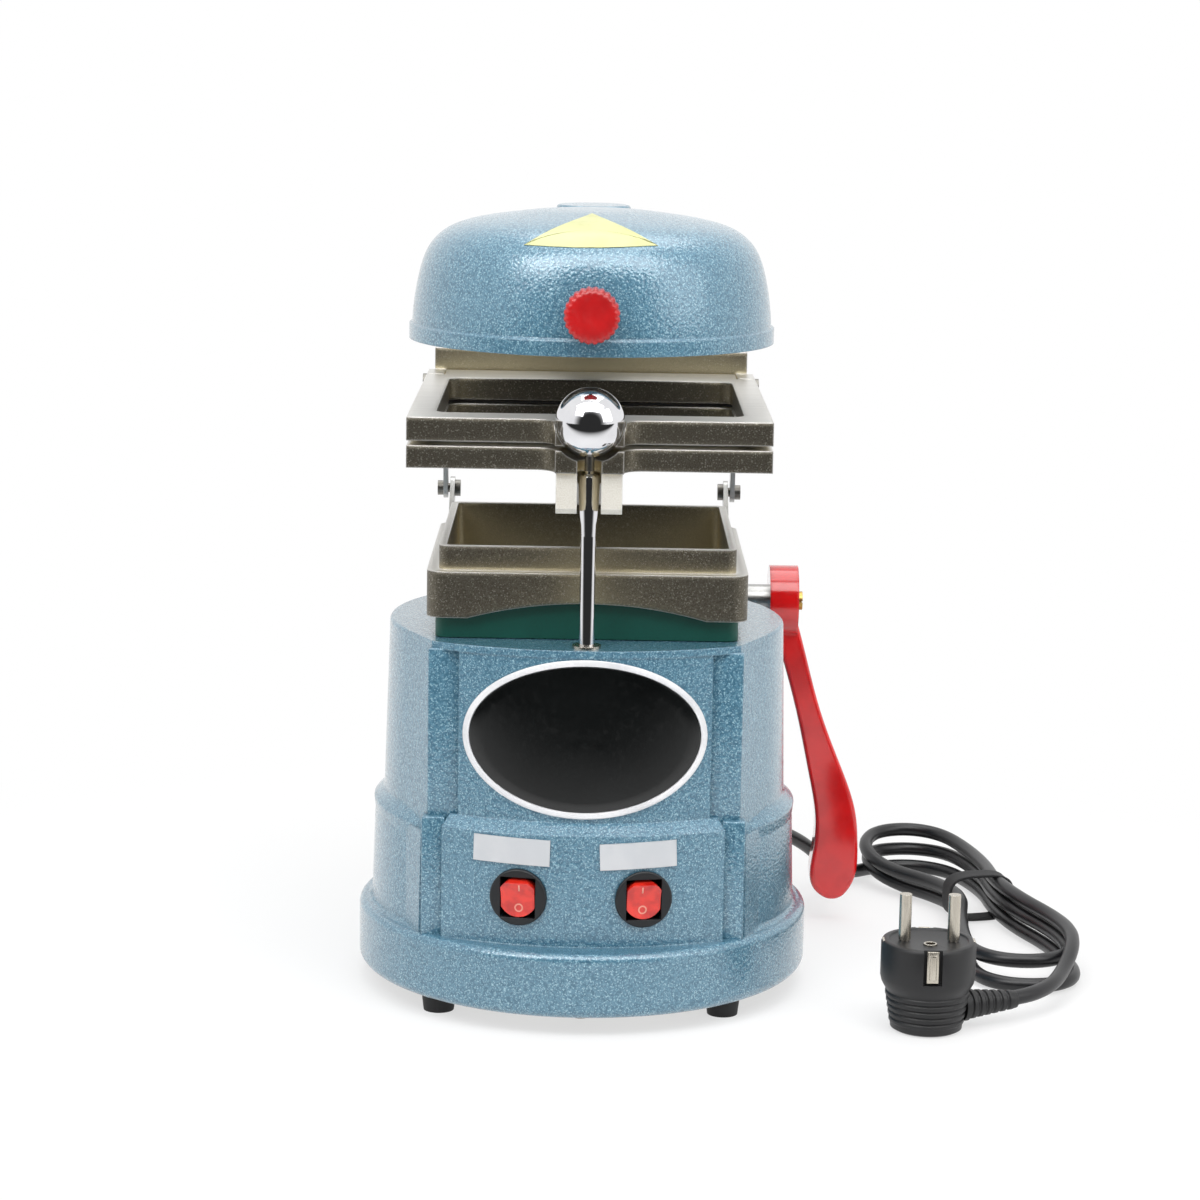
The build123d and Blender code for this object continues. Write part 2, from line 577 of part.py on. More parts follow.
# ---------------------------------------------------------------- front fittings
for label, x in SWITCHES.items():
    face = switch_plane(x)
    with BuildPart() as bezel:
        with BuildSketch(face):
            Circle(11.2)
        extrude(amount=1.8)
        fillet(bezel.faces().sort_by(Axis.Y)[0].edges(), 0.8)
        with BuildSketch(face.offset(-14)):
            Circle(10.4)
        extrude(amount=14.2)
        with BuildSketch(face.offset(-9)):
            Rectangle(13.9, 16.0)
        extrude(amount=20, mode=Mode.SUBTRACT)
        with BuildSketch(face.offset(-22)):
            with Locations((0, -4.5), (0, 4.5)):
                Rectangle(5, 0.8)
        extrude(amount=8.2)
    bezel.part.label = f"switch_body_{label}"
    export_step(bezel.part, f"parts/switch_body_{label}.step")
    with BuildPart() as rocker:
        with BuildSketch(Plane(origin=face.origin - face.x_dir * 6.65, x_dir=-face.z_dir, z_dir=face.x_dir)):
            with BuildLine():
                Polyline((5.4, -3.0), (5.4, 3.0), (0.6, 7.55), (-3.8, 6.0))
                ThreePointArc((-3.8, 6.0), (-1.5, -0.7), (-1.62, -7.81))
                Polyline((-1.62, -7.81), (0.6, -7.55), (5.4, -3.0))
            make_face()
        extrude(amount=13.3)
    rocker.part.label = f"rocker_{label}"
    export_step(rocker.part, f"parts/rocker_{label}.step")

with BuildPart() as badge_plate:
    with BuildSketch(Plane(origin=(0, RECESS_Y + 9.5, BADGE_Z), x_dir=(1, 0, 0), z_dir=(0, -1, 0))):
        Ellipse(47.4, 31.3)
    extrude(amount=30)
    with BuildSketch(Plane.XY.offset(BADGE_Z - 35)):
        with Locations((0, FRONT_CY)):
            Circle(PANEL_UP_R + 1.3)
            Circle(PANEL_UP_R, mode=Mode.SUBTRACT)
    extrude(amount=70, mode=Mode.INTERSECT)
badge_plate.part.label = "badge_plate"
export_step(badge_plate.part, "parts/badge_plate.step")

for label, (x, z, tilt) in LABELS.items():
    with BuildPart() as plate:
        with BuildSketch(Plane(origin=(x, PANEL_BACK, z), x_dir=(1, 0, 0), z_dir=(0, -1, 0))):
            Rectangle(29.6, 10.3, rotation=tilt)
        extrude(amount=50)
        with BuildSketch(Plane.XY.offset(z - 30)):
            with Locations((0, FRONT_CY)):
                Circle(PANEL_LOW_R + 0.8)
                Circle(PANEL_LOW_R, mode=Mode.SUBTRACT)
        extrude(amount=60, mode=Mode.INTERSECT)
    plate.part.label = f"label_{label}"
    export_step(plate.part, f"parts/label_{label}.step")

# ---------------------------------------------------------------- mains lead
with BuildPart() as cord_gland:
    with BuildSketch(gland_plane().offset(BODY_R_LOW - 7.5)):
        Circle(5.0)
    extrude(amount=8)
    with BuildSketch(gland_plane().offset(BODY_R_LOW + 0.2)):
        RegularPolygon(7.0, 6)
    extrude(amount=3.6)
    with BuildSketch(gland_plane().offset(BODY_R_LOW + 3.7)):
        Circle(5.6)
    extrude(amount=5.8, taper=12)
    with BuildSketch(gland_plane().offset(BODY_R_LOW - 16)):
        Circle(CORD_R + 0.35)
    extrude(amount=40, mode=Mode.SUBTRACT)
cord_gland.part.label = "cord_gland"
export_step(cord_gland.part, "parts/cord_gland.step")

power_cord = cord_tube(CORD_START, CORD_R)
power_cord.part.label = "power_cord"
export_step(power_cord.part, "parts/power_cord.step")

with BuildPart() as cord_hank:
    with BuildSketch(Plane.XY.offset(0.3)):
        with BuildLine():
            Spline(*HANK_OUTLINE, periodic=True)
        make_face()
    extrude(amount=HANK_HEIGHT)
    fillet(cord_hank.faces().filter_by(GeomType.PLANE).edges(), 8)
    with BuildSketch(TIE_PLANE):
        Rectangle(60, 50)
        RectangleRounded(28.2, 18.8, 7.6, mode=Mode.SUBTRACT)
    extrude(amount=5.4, both=True, mode=Mode.SUBTRACT)
cord_hank.part.label = "cord_hank"
export_step(cord_hank.part, "parts/cord_hank.step")

with BuildPart() as cord_tie:
    with BuildSketch(TIE_PLANE):
        RectangleRounded(31.2, 21.8, 9.0)
        RectangleRounded(28.8, 19.4, 8.0, mode=Mode.SUBTRACT)
    extrude(amount=5, both=True)
cord_tie.part.label = "cord_tie"
export_step(cord_tie.part, "parts/cord_tie.step")

cord_tail = cord_tube(CORD_TAIL, CORD_R)
cord_tail.part.label = "cord_tail"
export_step(cord_tail.part, "parts/cord_tail.step")

with BuildPart() as plug_body:
    with BuildSketch(Plane.XY.offset(0.3)):
        with Locations((PLUG_X, PLUG_Y)):
            Circle(PLUG_R - 4.1)
    with BuildSketch(Plane.XY.offset(PLUG_TOP - 7)):
        with Locations((PLUG_X, PLUG_Y)):
            Circle(PLUG_R)
    loft()
    disc_z(PLUG_X, PLUG_Y, PLUG_TOP - 7, PLUG_TOP, PLUG_R)
    with BuildSketch(Plane(origin=(147.0, -68.0, 9.0), x_dir=(0, 0, 1), z_dir=(15.8, 4.5, 0))):
        Circle(7.0)
    extrude(amount=7, taper=14)
    for side in (-1, 1):
        with Locations((PLUG_X + side * (PLUG_R - 0.2), PLUG_Y, PLUG_TOP - 6)):
            Box(3.0, 5.4, 20, mode=Mode.SUBTRACT)
        socket_x = PLUG_X + side * PIN_X
        disc_z(socket_x, PLUG_Y, PLUG_TOP - 10, PLUG_TOP + 1, PIN_ROOT_R + 0.05, mode=Mode.SUBTRACT)
plug_body.part.label = "plug_body"
export_step(plug_body.part, "parts/plug_body.step")

with BuildPart() as plug_pins:
    for side in (-1, 1):
        disc_z(PLUG_X + side * PIN_X, PLUG_Y, PLUG_TOP - 9.5, PLUG_TOP + 1, PIN_ROOT_R)
        disc_z(PLUG_X + side * PIN_X, PLUG_Y, PLUG_TOP + 0.02, PLUG_TOP + PIN_LENGTH, PIN_R)
        with Locations((PLUG_X + side * (PLUG_R - 1), PLUG_Y, PLUG_TOP - 7.8)):
            Box(0.8, 4.8, 15.4)
plug_pins.part.label = "plug_pins"
export_step(plug_pins.part, "parts/plug_pins.step")

# ---------------------------------------------------------------- heater head
# Dome profiles as distances in from the rim's radius and up from its lower edge.
DOME_OUTER = [(1.2, 6.6), (2.4, 18.4), (4.5, 28.4), (7.8, 36.4), (13.9, 42.6), (24.4, 46.8), (42.4, 49.8)]
DOME_INNER = [(3.8, 7.4), (5.0, 18.4), (7.2, 27.8), (10.4, 34.6), (16.0, 40.0), (25.8, 44.0), (43.4, 46.9)]
outer = [(DOME_R - inward, DOME_Z0 + height) for inward, height in DOME_OUTER] + [(0, DOME_Z0 + 51.4)]
inner = [(DOME_R - inward, DOME_Z0 + height) for inward, height in DOME_INNER] + [(0, DOME_Z0 + 48.4)]
with BuildPart() as heater_dome:
    with BuildSketch(Plane.XZ):
        with BuildLine():
            Polyline((0, DOME_Z0), (DOME_R, DOME_Z0), (DOME_R, DOME_Z0 + 5.8), outer[0])
            Spline(*outer, tangents=[(-0.04, 1), (-1, 0)])
            Line(outer[-1], (0, DOME_Z0))
        make_face()
    revolve(axis=Axis.Z)
    with BuildSketch(Plane.XY.offset(DOME_Z0 + 7.4)):
        with Locations((0, COLUMN_Y - 25)):
            Rectangle(26, 50)
    extrude(amount=32)
    fillet(heater_dome.edges().filter_by(Axis.Y), 4)
    disc_z(0, COLUMN_Y, DOME_Z0 + 1.4, DOME_Z0 + 46.4, COLUMN_R + 7)
    fillet(heater_dome.edges().filter_by(GeomType.CIRCLE).group_by(Axis.Y)[-1], 1.5)
    with BuildSketch(Plane.XZ):
        with BuildLine():
            Polyline((0, DOME_Z0 - 1), (DOME_R - 3.2, DOME_Z0 - 1), inner[0])
            Spline(*inner)
            Line(inner[-1], (0, DOME_Z0 - 1))
        make_face()
    revolve(axis=Axis.Z, mode=Mode.SUBTRACT)
    disc_z(0, COLUMN_Y, DOME_Z0 + 0.4, DOME_Z0 + 39.4, COLUMN_R + RUN_GAP, mode=Mode.SUBTRACT)
    with BuildSketch(Plane(origin=(0, 12.4 - DOME_R, KNOB_Z), x_dir=(1, 0, 0), z_dir=(0, -1, 0))):
        Circle(2.6)
    extrude(amount=20, mode=Mode.SUBTRACT)
heater_dome.part.label = "heater_dome"
export_step(heater_dome.part, "parts/heater_dome.step")

with BuildPart() as hub_collar:
    disc_z(0, COLUMN_Y, DOME_Z0 - 9.1, DOME_Z0 + 1.1, COLUMN_R + 4)
    disc_z(0, COLUMN_Y, DOME_Z0 - 10, DOME_Z0 + 2, COLUMN_R + FIT_GAP, mode=Mode.SUBTRACT)
    fillet(hub_collar.edges().group_by(Axis.Z)[0].sort_by(SortBy.RADIUS)[-1], 1)
hub_collar.part.label = "hub_collar"
export_step(hub_collar.part, "parts/hub_collar.step")

with BuildPart() as reflector:
    with BuildSketch(Plane.XZ):
        with BuildLine():
            low = DOME_Z0 + 8.0
            high = DOME_Z0 + 35.4
            Polyline((DOME_R - 4.1, low), (DOME_R - 13.9, low), (DOME_R - 20.4, high), (0, high))
            Line((0, high), (0, high + 1))
            Polyline((0, high + 1), (DOME_R - 19.6, high + 1), (DOME_R - 13.2, low + 1))
            Polyline((DOME_R - 13.2, low + 1), (DOME_R - 4.1, low + 1), (DOME_R - 4.1, low))
        make_face()
    revolve(axis=Axis.Z)
reflector.part.label = "reflector"
export_step(reflector.part, "parts/reflector.step")

with BuildPart() as heating_element:
    for ring_r in ELEMENT_RINGS:
        with BuildSketch(Plane.XZ):
            with Locations((ring_r, ELEMENT_Z)):
                RegularPolygon(3.0, 10)
        revolve(axis=Axis.Z)
    with Locations((sum(ELEMENT_RINGS) / 2, 0, ELEMENT_Z)):
        Box(ELEMENT_RINGS[1] - ELEMENT_RINGS[0] - 2, 3.6, 3.6)
heating_element.part.label = "heating_element"
export_step(heating_element.part, "parts/heating_element.step")

with BuildPart() as ceramic_posts:
    for angle in (45, 135, 225, 315):
        for radius in ELEMENT_RINGS:
            x = radius * math.cos(math.radians(angle))
            y = radius * math.sin(math.radians(angle))
            disc_z(x, y, ELEMENT_Z + 3.1, DOME_Z0 + 35.4, 3.2)
ceramic_posts.part.label = "ceramic_posts"
export_step(ceramic_posts.part, "parts/ceramic_posts.step")

with BuildPart() as head_knob:
    with BuildSketch(Plane(origin=(0, -DOME_R - 0.6, KNOB_Z), x_dir=(1, 0, 0), z_dir=(0, -1, 0))):
        Circle(10.6)
        with PolarLocations(11.2, 20):
            Circle(1.2, mode=Mode.SUBTRACT)
    extrude(amount=11)
    with BuildSketch(Plane(origin=(0, -DOME_R - 10.6, KNOB_Z), x_dir=(1, 0, 0), z_dir=(0, -1, 0))):
        Circle(7.8)
    extrude(amount=2.2, taper=30)
    with BuildSketch(Plane(origin=(0, -DOME_R - 0.2, KNOB_Z), x_dir=(1, 0, 0), z_dir=(0, -1, 0))):
        Circle(2.45)
    extrude(amount=6, mode=Mode.SUBTRACT)
head_knob.part.label = "head_knob"
export_step(head_knob.part, "parts/head_knob.step")

with BuildPart() as knob_screw:
    with BuildSketch(Plane(origin=(0, 7.2 - DOME_R, KNOB_Z), x_dir=(1, 0, 0), z_dir=(0, -1, 0))):
        Circle(2.4)
    extrude(amount=13.2)
    with BuildSketch(Plane(origin=(0, 8.8 - DOME_R, KNOB_Z), x_dir=(1, 0, 0), z_dir=(0, -1, 0))):
        RegularPolygon(4.4, 6)
    extrude(amount=2.6)
knob_screw.part.label = "knob_screw"
export_step(knob_screw.part, "parts/knob_screw.step")

# ---------------------------------------------------------------- carriage
with BuildPart() as lower_frame:
    with BuildSketch(Plane.XY.offset(LOWER_Z0)):
        frame_plate_sketch(BEAM_Y1)
    extrude(amount=LOWER_Z1 - LOWER_Z0)
    with BuildSketch(Plane.XY.offset(LOWER_Z0)):
        with Locations((0, (BEAM_Y0 + BEAM_Y1) / 2)):
            Rectangle(2 * FRAME_HALF - 5, BEAM_Y1 - BEAM_Y0)
    extrude(amount=BEAM_TOP - LOWER_Z0)
    for side in (-1, 1):
        with BuildSketch(Plane.XY.offset(LOWER_Z1)):
            with Locations((side * EAR_X, HINGE_Y - 0.5)):
                Rectangle(7.2, 19)
        extrude(amount=UPPER_Z1 - LOWER_Z1)
        with BuildSketch(Plane.XY.offset(LINK_Z - 8)):
            with Locations((side * EAR_X, BEAM_Y1 + 3)):
                Rectangle(2.6, 14)
        extrude(amount=16)
        pin_x(side * (EAR_X - 1.3), side * (EAR_X + 1.3), LINK_Y, LINK_Z, 8.6)
        pin_x(side * (EAR_X - 5), side * (EAR_X + 6), HINGE_Y, HINGE_Z, 2.55, mode=Mode.SUBTRACT)
        pin_x(side * (EAR_X - 2), side * (EAR_X + 2), LINK_Y, LINK_Z, 4.7, mode=Mode.SUBTRACT)
    disc_z(0, COLUMN_Y, LOWER_Z0 - 14.3, BEAM_TOP, COLUMN_R + 5)
    with BuildSketch(Plane.XY.offset(LOWER_Z0 - 14.3)):
        with Locations((0, (BEAM_Y0 + BEAM_Y1) / 2)):
            Rectangle(20, 8)
    extrude(amount=20)
    with Locations((0, BALL_Y, BALL_Z)):
        Sphere(BALL_R + 2.4, mode=Mode.SUBTRACT)
    with BuildSketch(Plane.XY.offset(LOWER_Z0 - 1)):
        with Locations((0, BALL_Y)):
            Circle(FORK_GAP)
        with Locations((0, BALL_Y - 5)):
            Rectangle(2 * FORK_GAP, 10)
    extrude(amount=20, mode=Mode.SUBTRACT)
    disc_z(0, ROD_Y, LOWER_Z0 - 1, LOWER_Z1 - 2.3, TENON_R + FIT_GAP, mode=Mode.SUBTRACT)
    disc_z(0, COLUMN_Y, LOWER_Z0 - 15.3, BEAM_TOP + 1, COLUMN_R + 1.6, mode=Mode.SUBTRACT)
lower_frame.part.label = "lower_frame"
export_step(lower_frame.part, "parts/lower_frame.step")

with BuildPart() as carriage_bush:
    disc_z(0, COLUMN_Y, LOWER_Z0 - 14.3, BEAM_TOP, COLUMN_R + 1.58)
    disc_z(0, COLUMN_Y, LOWER_Z0 - 15.3, BEAM_TOP + 1, COLUMN_R + RUN_GAP, mode=Mode.SUBTRACT)
carriage_bush.part.label = "carriage_bush"
export_step(carriage_bush.part, "parts/carriage_bush.step")

with BuildPart() as sheet_seal:
    with BuildSketch(Plane.XY.offset(LOWER_Z1 + 0.3)):
        with Locations((0, (OPEN_Y0 + OPEN_Y1) / 2)):
            RectangleRounded(2 * OPEN_HALF + 7, OPEN_Y1 - OPEN_Y0 + 7, 6)
            RectangleRounded(2 * OPEN_HALF + 4, OPEN_Y1 - OPEN_Y0 + 4, 5, mode=Mode.SUBTRACT)
    extrude(amount=0.9)
sheet_seal.part.label = "sheet_seal"
export_step(sheet_seal.part, "parts/sheet_seal.step")

with BuildPart() as clamp_fork:
    for side in (-1, 1):
        with BuildSketch(Plane.YZ.offset(side * FORK_GAP)):
            Polygon(
                (FRAME_FRONT - 7, LOWER_Z0),
                (FRAME_FRONT - 7, LOWER_Z0 - 13.7),
                (FRAME_FRONT - 4.6, LOWER_Z0 - 15.9),
                (FRAME_FRONT + 5, LOWER_Z0 - 15.9),
                (FRAME_FRONT + 8, LOWER_Z0 - 12.3),
                (FRAME_FRONT + 8, LOWER_Z0),
                align=None,
            )
        extrude(amount=side * 8.0)
    with Locations((0, FRAME_FRONT + 10, LOWER_Z0 - 3)):
        Box(25.2, 6, 6)
    for side in (-1, 1):
        disc_z(side * 8.6, FRAME_FRONT + 10, LOWER_Z0 - 7.3, LOWER_Z0 + 0.7, 1.7, mode=Mode.SUBTRACT)
        disc_z(side * 8.6, FRAME_FRONT + 10, LOWER_Z0 - 9.3, LOWER_Z0 - 5.95, 3.2, mode=Mode.SUBTRACT)
clamp_fork.part.label = "clamp_fork"
export_step(clamp_fork.part, "parts/clamp_fork.step")

with BuildPart() as fork_screws:
    for side in (-1, 1):
        disc_z(side * 8.6, FRAME_FRONT + 10, LOWER_Z0 - 6, LOWER_Z0 - 0.1, 1.65)
        disc_z(side * 8.6, FRAME_FRONT + 10, LOWER_Z0 - 8.2, LOWER_Z0 - 6, 3.0)
fork_screws.part.label = "fork_screws"
export_step(fork_screws.part, "parts/fork_screws.step")

with BuildPart() as guide_rod:
    with BuildSketch(Plane.YZ):
        with BuildLine():
            Polyline((ROD_Y, ROD_END), (ROD_Y - ROD_R + 0.6, ROD_END), (ROD_Y - ROD_R, ROD_END + 1))
            Polyline((ROD_Y - ROD_R, ROD_END + 1), (ROD_Y - ROD_R, LOWER_Z0 - 25.3))
            Polyline((ROD_Y - ROD_R, LOWER_Z0 - 25.3), (ROD_Y - ROD_R - 1, LOWER_Z0 - 6.3))
            Line((ROD_Y - ROD_R - 1, LOWER_Z0 - 6.3), (ROD_Y - ROD_R - 1, LOWER_Z0 - 3.3))
            ThreePointArc(
                (ROD_Y - ROD_R - 1, LOWER_Z0 - 3.3),
                (ROD_Y - ROD_R - 0.6, LOWER_Z0 - 1.9),
                (ROD_Y - TENON_R, LOWER_Z0 - 1.3),
            )
            Polyline((ROD_Y - TENON_R, LOWER_Z0 - 1.3), (ROD_Y - TENON_R, LOWER_Z0 + 6))
            Polyline((ROD_Y - TENON_R, LOWER_Z0 + 6), (ROD_Y, LOWER_Z0 + 6), (ROD_Y, ROD_END))
        make_face()
    revolve(axis=Axis((0, ROD_Y, 0), (0, 0, 1)))
guide_rod.part.label = "guide_rod"
export_step(guide_rod.part, "parts/guide_rod.step")

with BuildPart() as hinge_screws:
    for side in (-1, 1):
        pin_x(side * (FRAME_HALF - 12), side * (FRAME_HALF + 0.1), HINGE_Y, HINGE_Z, 2.5)
        pin_x(side * FRAME_HALF, side * (FRAME_HALF + 2.1), HINGE_Y, HINGE_Z, 3.6)
        with Locations((side * (FRAME_HALF + 2.1), HINGE_Y, HINGE_Z)):
            Box(1.4, 7.4, 0.9, mode=Mode.SUBTRACT)
hinge_screws.part.label = "hinge_screws"
export_step(hinge_screws.part, "parts/hinge_screws.step")

# ---------------------------------------------------------------- upper frame and clamp
with BuildPart() as upper_frame:
    with BuildSketch(Plane.XY.offset(UPPER_Z0)):
        frame_plate_sketch(BEAM_Y0 - 1.6)
        for side in (-1, 1):
            with Locations((side * EAR_X, HINGE_Y + 4)):
                Rectangle(8.4, 30, mode=Mode.SUBTRACT)
    extrude(amount=UPPER_Z1 - UPPER_Z0)
    for side in (-1, 1):
        pin_x(side * (EAR_X - 9), side * (EAR_X - 4), HINGE_Y, HINGE_Z, 2.56, mode=Mode.SUBTRACT)
    with Locations((0, BALL_Y, BALL_Z)):
        Sphere(BALL_R + 0.25, mode=Mode.SUBTRACT)
upper_frame.part.label = "upper_frame"
export_step(upper_frame.part, "parts/upper_frame.step")

with BuildPart() as clamp_ball:
    with Locations((0, BALL_Y, BALL_Z)):
        Sphere(BALL_R)
    disc_z(0, BALL_Y, BALL_Z - 16.4, BALL_Z - 3.4, STUD_R + FIT_GAP, mode=Mode.SUBTRACT)
clamp_ball.part.label = "clamp_ball"
export_step(clamp_ball.part, "parts/clamp_ball.step")

with BuildPart() as clamp_stud:
    disc_z(0, BALL_Y, BALL_Z - 18.4, BALL_Z - 3.5, STUD_R)
clamp_stud.part.label = "clamp_stud"
export_step(clamp_stud.part, "parts/clamp_stud.step")

# ---------------------------------------------------------------- lever and linkage
with BuildPart() as cross_shaft:
    pin_x(-CRANK_X - 4.6, LEVER_X + 10.1, SHAFT_Y, SHAFT_Z, SHAFT_R)
cross_shaft.part.label = "cross_shaft"
export_step(cross_shaft.part, "parts/cross_shaft.step")

# Lever edges as distances out from its inner face and down from the shaft.
LEVER_OUTER = [(12.3, 8), (15.7, 20), (23.7, 48), (32.7, 71), (40.1, 93), (41.3, 107), (40.3, 121)]
LEVER_OUTER += [(35.6, 129)]
LEVER_INNER = [(26.1, 129.4), (21.5, 124), (21.7, 111), (22.7, 97), (19.1, 75), (13.1, 48), (5.1, 20)]
LEVER_INNER += [(1.5, 8)]
far_edge = [(LEVER_X + out, SHAFT_Z - down) for out, down in LEVER_OUTER]
near_edge = [(LEVER_X + out, SHAFT_Z - down) for out, down in LEVER_INNER]
with BuildPart() as lever:
    with BuildSketch(Plane.XZ.offset(-SHAFT_Y)):
        with BuildLine():
            Spline(*far_edge)
            ThreePointArc(far_edge[-1], (LEVER_X + 30.9, SHAFT_Z - 130.8), near_edge[0])
            Spline(*near_edge)
            Polyline(near_edge[-1], (LEVER_X, SHAFT_Z), (LEVER_X + 12.3, SHAFT_Z), far_edge[0])
        make_face()
    extrude(amount=LEVER_HALF, both=True)
    fillet(lever.faces().filter_by(Axis.Y).edges(), LEVER_ROUND)
    pin_x(LEVER_X, LEVER_X + 12.3, SHAFT_Y, SHAFT_Z, SHAFT_R + 8.4)
    pin_x(LEVER_X - 8, LEVER_X + 10.2, SHAFT_Y, SHAFT_Z, SHAFT_R + FIT_GAP, mode=Mode.SUBTRACT)
    pin_x(LEVER_X + 2, LEVER_X + 17, SHAFT_Y, SHAFT_Z, 2.6, mode=Mode.SUBTRACT)
lever.part.label = "lever"
export_step(lever.part, "parts/lever.step")

with BuildPart() as lever_screw:
    pin_x(LEVER_X + 10.2, LEVER_X + 12.4, SHAFT_Y, SHAFT_Z, 2.5)
    pin_x(LEVER_X + 12.3, LEVER_X + 14.5, SHAFT_Y, SHAFT_Z, 4.0)
    with Locations((LEVER_X + 14.5, SHAFT_Y, SHAFT_Z)):
        Box(1.4, 8.2, 0.9, mode=Mode.SUBTRACT)
lever_screw.part.label = "lever_screw"
export_step(lever_screw.part, "parts/lever_screw.step")

for label, side in (("left", -1), ("right", 1)):
    with BuildPart() as crank:
        strap(side * (CRANK_X - 1.0), side * (CRANK_X + 1.0), (SHAFT_Y, SHAFT_Z), (CRANK_Y, CRANK_Z), 5.0)
        pin_x(side * (CRANK_X - 1.0), side * (CRANK_X + 1.0), SHAFT_Y, SHAFT_Z, SHAFT_R + 2.7)
        bore = SHAFT_R + FIT_GAP
        pin_x(side * (CRANK_X - 10), side * (CRANK_X + 10), SHAFT_Y, SHAFT_Z, bore, mode=Mode.SUBTRACT)
        pin_x(side * (CRANK_X - 10), side * (CRANK_X + 10), CRANK_Y, CRANK_Z, 2.02, mode=Mode.SUBTRACT)
    crank.part.label = f"crank_{label}"
    export_step(crank.part, f"parts/crank_{label}.step")
    with BuildPart() as crank_pin:
        pin_x(side * (CRANK_X - 1.0), side * (LINK_X + 1.2), CRANK_Y, CRANK_Z, 2.0)
        pin_x(side * (CRANK_X - 3.4), side * (CRANK_X - 1.0), CRANK_Y, CRANK_Z, 3.6)
        pin_x(side * (LINK_X + 1.1), side * (LINK_X + 3.6), CRANK_Y, CRANK_Z, 3.2)
    crank_pin.part.label = f"crank_pin_{label}"
    export_step(crank_pin.part, f"parts/crank_pin_{label}.step")
    with BuildPart() as link:
        strap(side * (LINK_X - 1.0), side * (LINK_X + 1.0), (CRANK_Y, CRANK_Z), (LINK_Y, LINK_Z), 4.4)
        pin_x(side * (CRANK_X - 10), side * (CRANK_X + 10), CRANK_Y, CRANK_Z, 2.06, mode=Mode.SUBTRACT)
        pin_x(side * (CRANK_X - 10), side * (CRANK_X + 10), LINK_Y, LINK_Z, 2.02, mode=Mode.SUBTRACT)
    link.part.label = f"link_{label}"
    export_step(link.part, f"parts/link_{label}.step")
    with BuildPart() as link_rivet:
        pin_x(side * (LINK_X - 1.0), side * (EAR_X + 2.1), LINK_Y, LINK_Z, 2.0)
        pin_x(side * (LINK_X - 2.8), side * (LINK_X - 1.0), LINK_Y, LINK_Z, 3.4)
        pin_x(side * (EAR_X + 1.7), side * (EAR_X + 3.3), LINK_Y, LINK_Z, 6.4)
    link_rivet.part.label = f"link_rivet_{label}"
    export_step(link_rivet.part, f"parts/link_rivet_{label}.step")
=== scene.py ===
"""Looks of a dental vacuum former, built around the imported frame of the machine.

Lengths given as "mm" are millimetres and pass through MM on their way into Blender.
X runs to the machine's right, Y to its back and Z up, and the feet stand on Z = 0.
"""

import logging
import math
from dataclasses import dataclass, field
from enum import Enum
from typing import Any, Callable, Iterable, Optional, Sequence

import bpy
from mathutils import Matrix, Vector


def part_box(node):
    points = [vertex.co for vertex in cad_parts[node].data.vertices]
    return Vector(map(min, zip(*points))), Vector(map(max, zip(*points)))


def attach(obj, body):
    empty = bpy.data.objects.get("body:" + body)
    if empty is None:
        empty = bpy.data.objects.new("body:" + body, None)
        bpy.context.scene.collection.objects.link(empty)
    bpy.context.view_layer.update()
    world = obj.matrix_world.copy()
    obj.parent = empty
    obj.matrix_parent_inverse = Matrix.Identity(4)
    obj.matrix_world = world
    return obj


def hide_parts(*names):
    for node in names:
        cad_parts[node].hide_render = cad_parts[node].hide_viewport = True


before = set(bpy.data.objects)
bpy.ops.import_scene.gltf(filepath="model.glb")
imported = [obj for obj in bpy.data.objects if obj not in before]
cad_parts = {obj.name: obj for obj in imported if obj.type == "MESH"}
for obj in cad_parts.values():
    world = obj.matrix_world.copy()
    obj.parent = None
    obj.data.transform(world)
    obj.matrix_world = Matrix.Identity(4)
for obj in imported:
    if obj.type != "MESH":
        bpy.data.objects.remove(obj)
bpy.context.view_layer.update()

MM = 0.001
SAME_POINT = 0.002 * MM
NO_GAP = 0.001 * MM
SHELTER_ZONE = (0.78, 0.42)
CORNER_ZONE = (0.995, 0.86)
SHARP_FROM = 35.0
STEEP = 40.0
OUTWARD = 0.9
TURN = 2 * math.pi
BACK = Vector((0, 1, 0))
FRONT = Vector((0, -1, 0))
UP = Vector((0, 0, 1))
WHITE = (1, 1, 1, 1)
LOG = logging.getLogger("vacuum_former")

Point = Sequence[float]
Pair = tuple[float, float]
Triple = tuple[float, float, float]
Rgba = tuple[float, float, float, float]
Test = Callable[[Vector, Vector], bool]


def mm(x: float, y: float, z: float) -> Vector:
    """A point or a move given in millimetres, as metres."""
    return Vector((x, y, z)) * MM


def ink(red: int, green: int, blue: int) -> Rgba:
    """A colour given as three 0 to 255 screen values, as linear RGBA.

    Args:
        red: the red channel's value.
        green: the green channel's.
        blue: the blue channel's.

    Returns:
        The opaque colour.
    """

    def linear(level: int) -> float:
        """One channel, from screen value to linear light.

        Args:
            level: the screen value.

        Returns:
            The light, from 0 to 1.
        """
        share = level / 255
        return share / 12.92 if share <= 0.04045 else ((share + 0.055) / 1.055) ** 2.4

    return (linear(red), linear(green), linear(blue), 1.0)


# --------------------------------------------------------------------------- materials


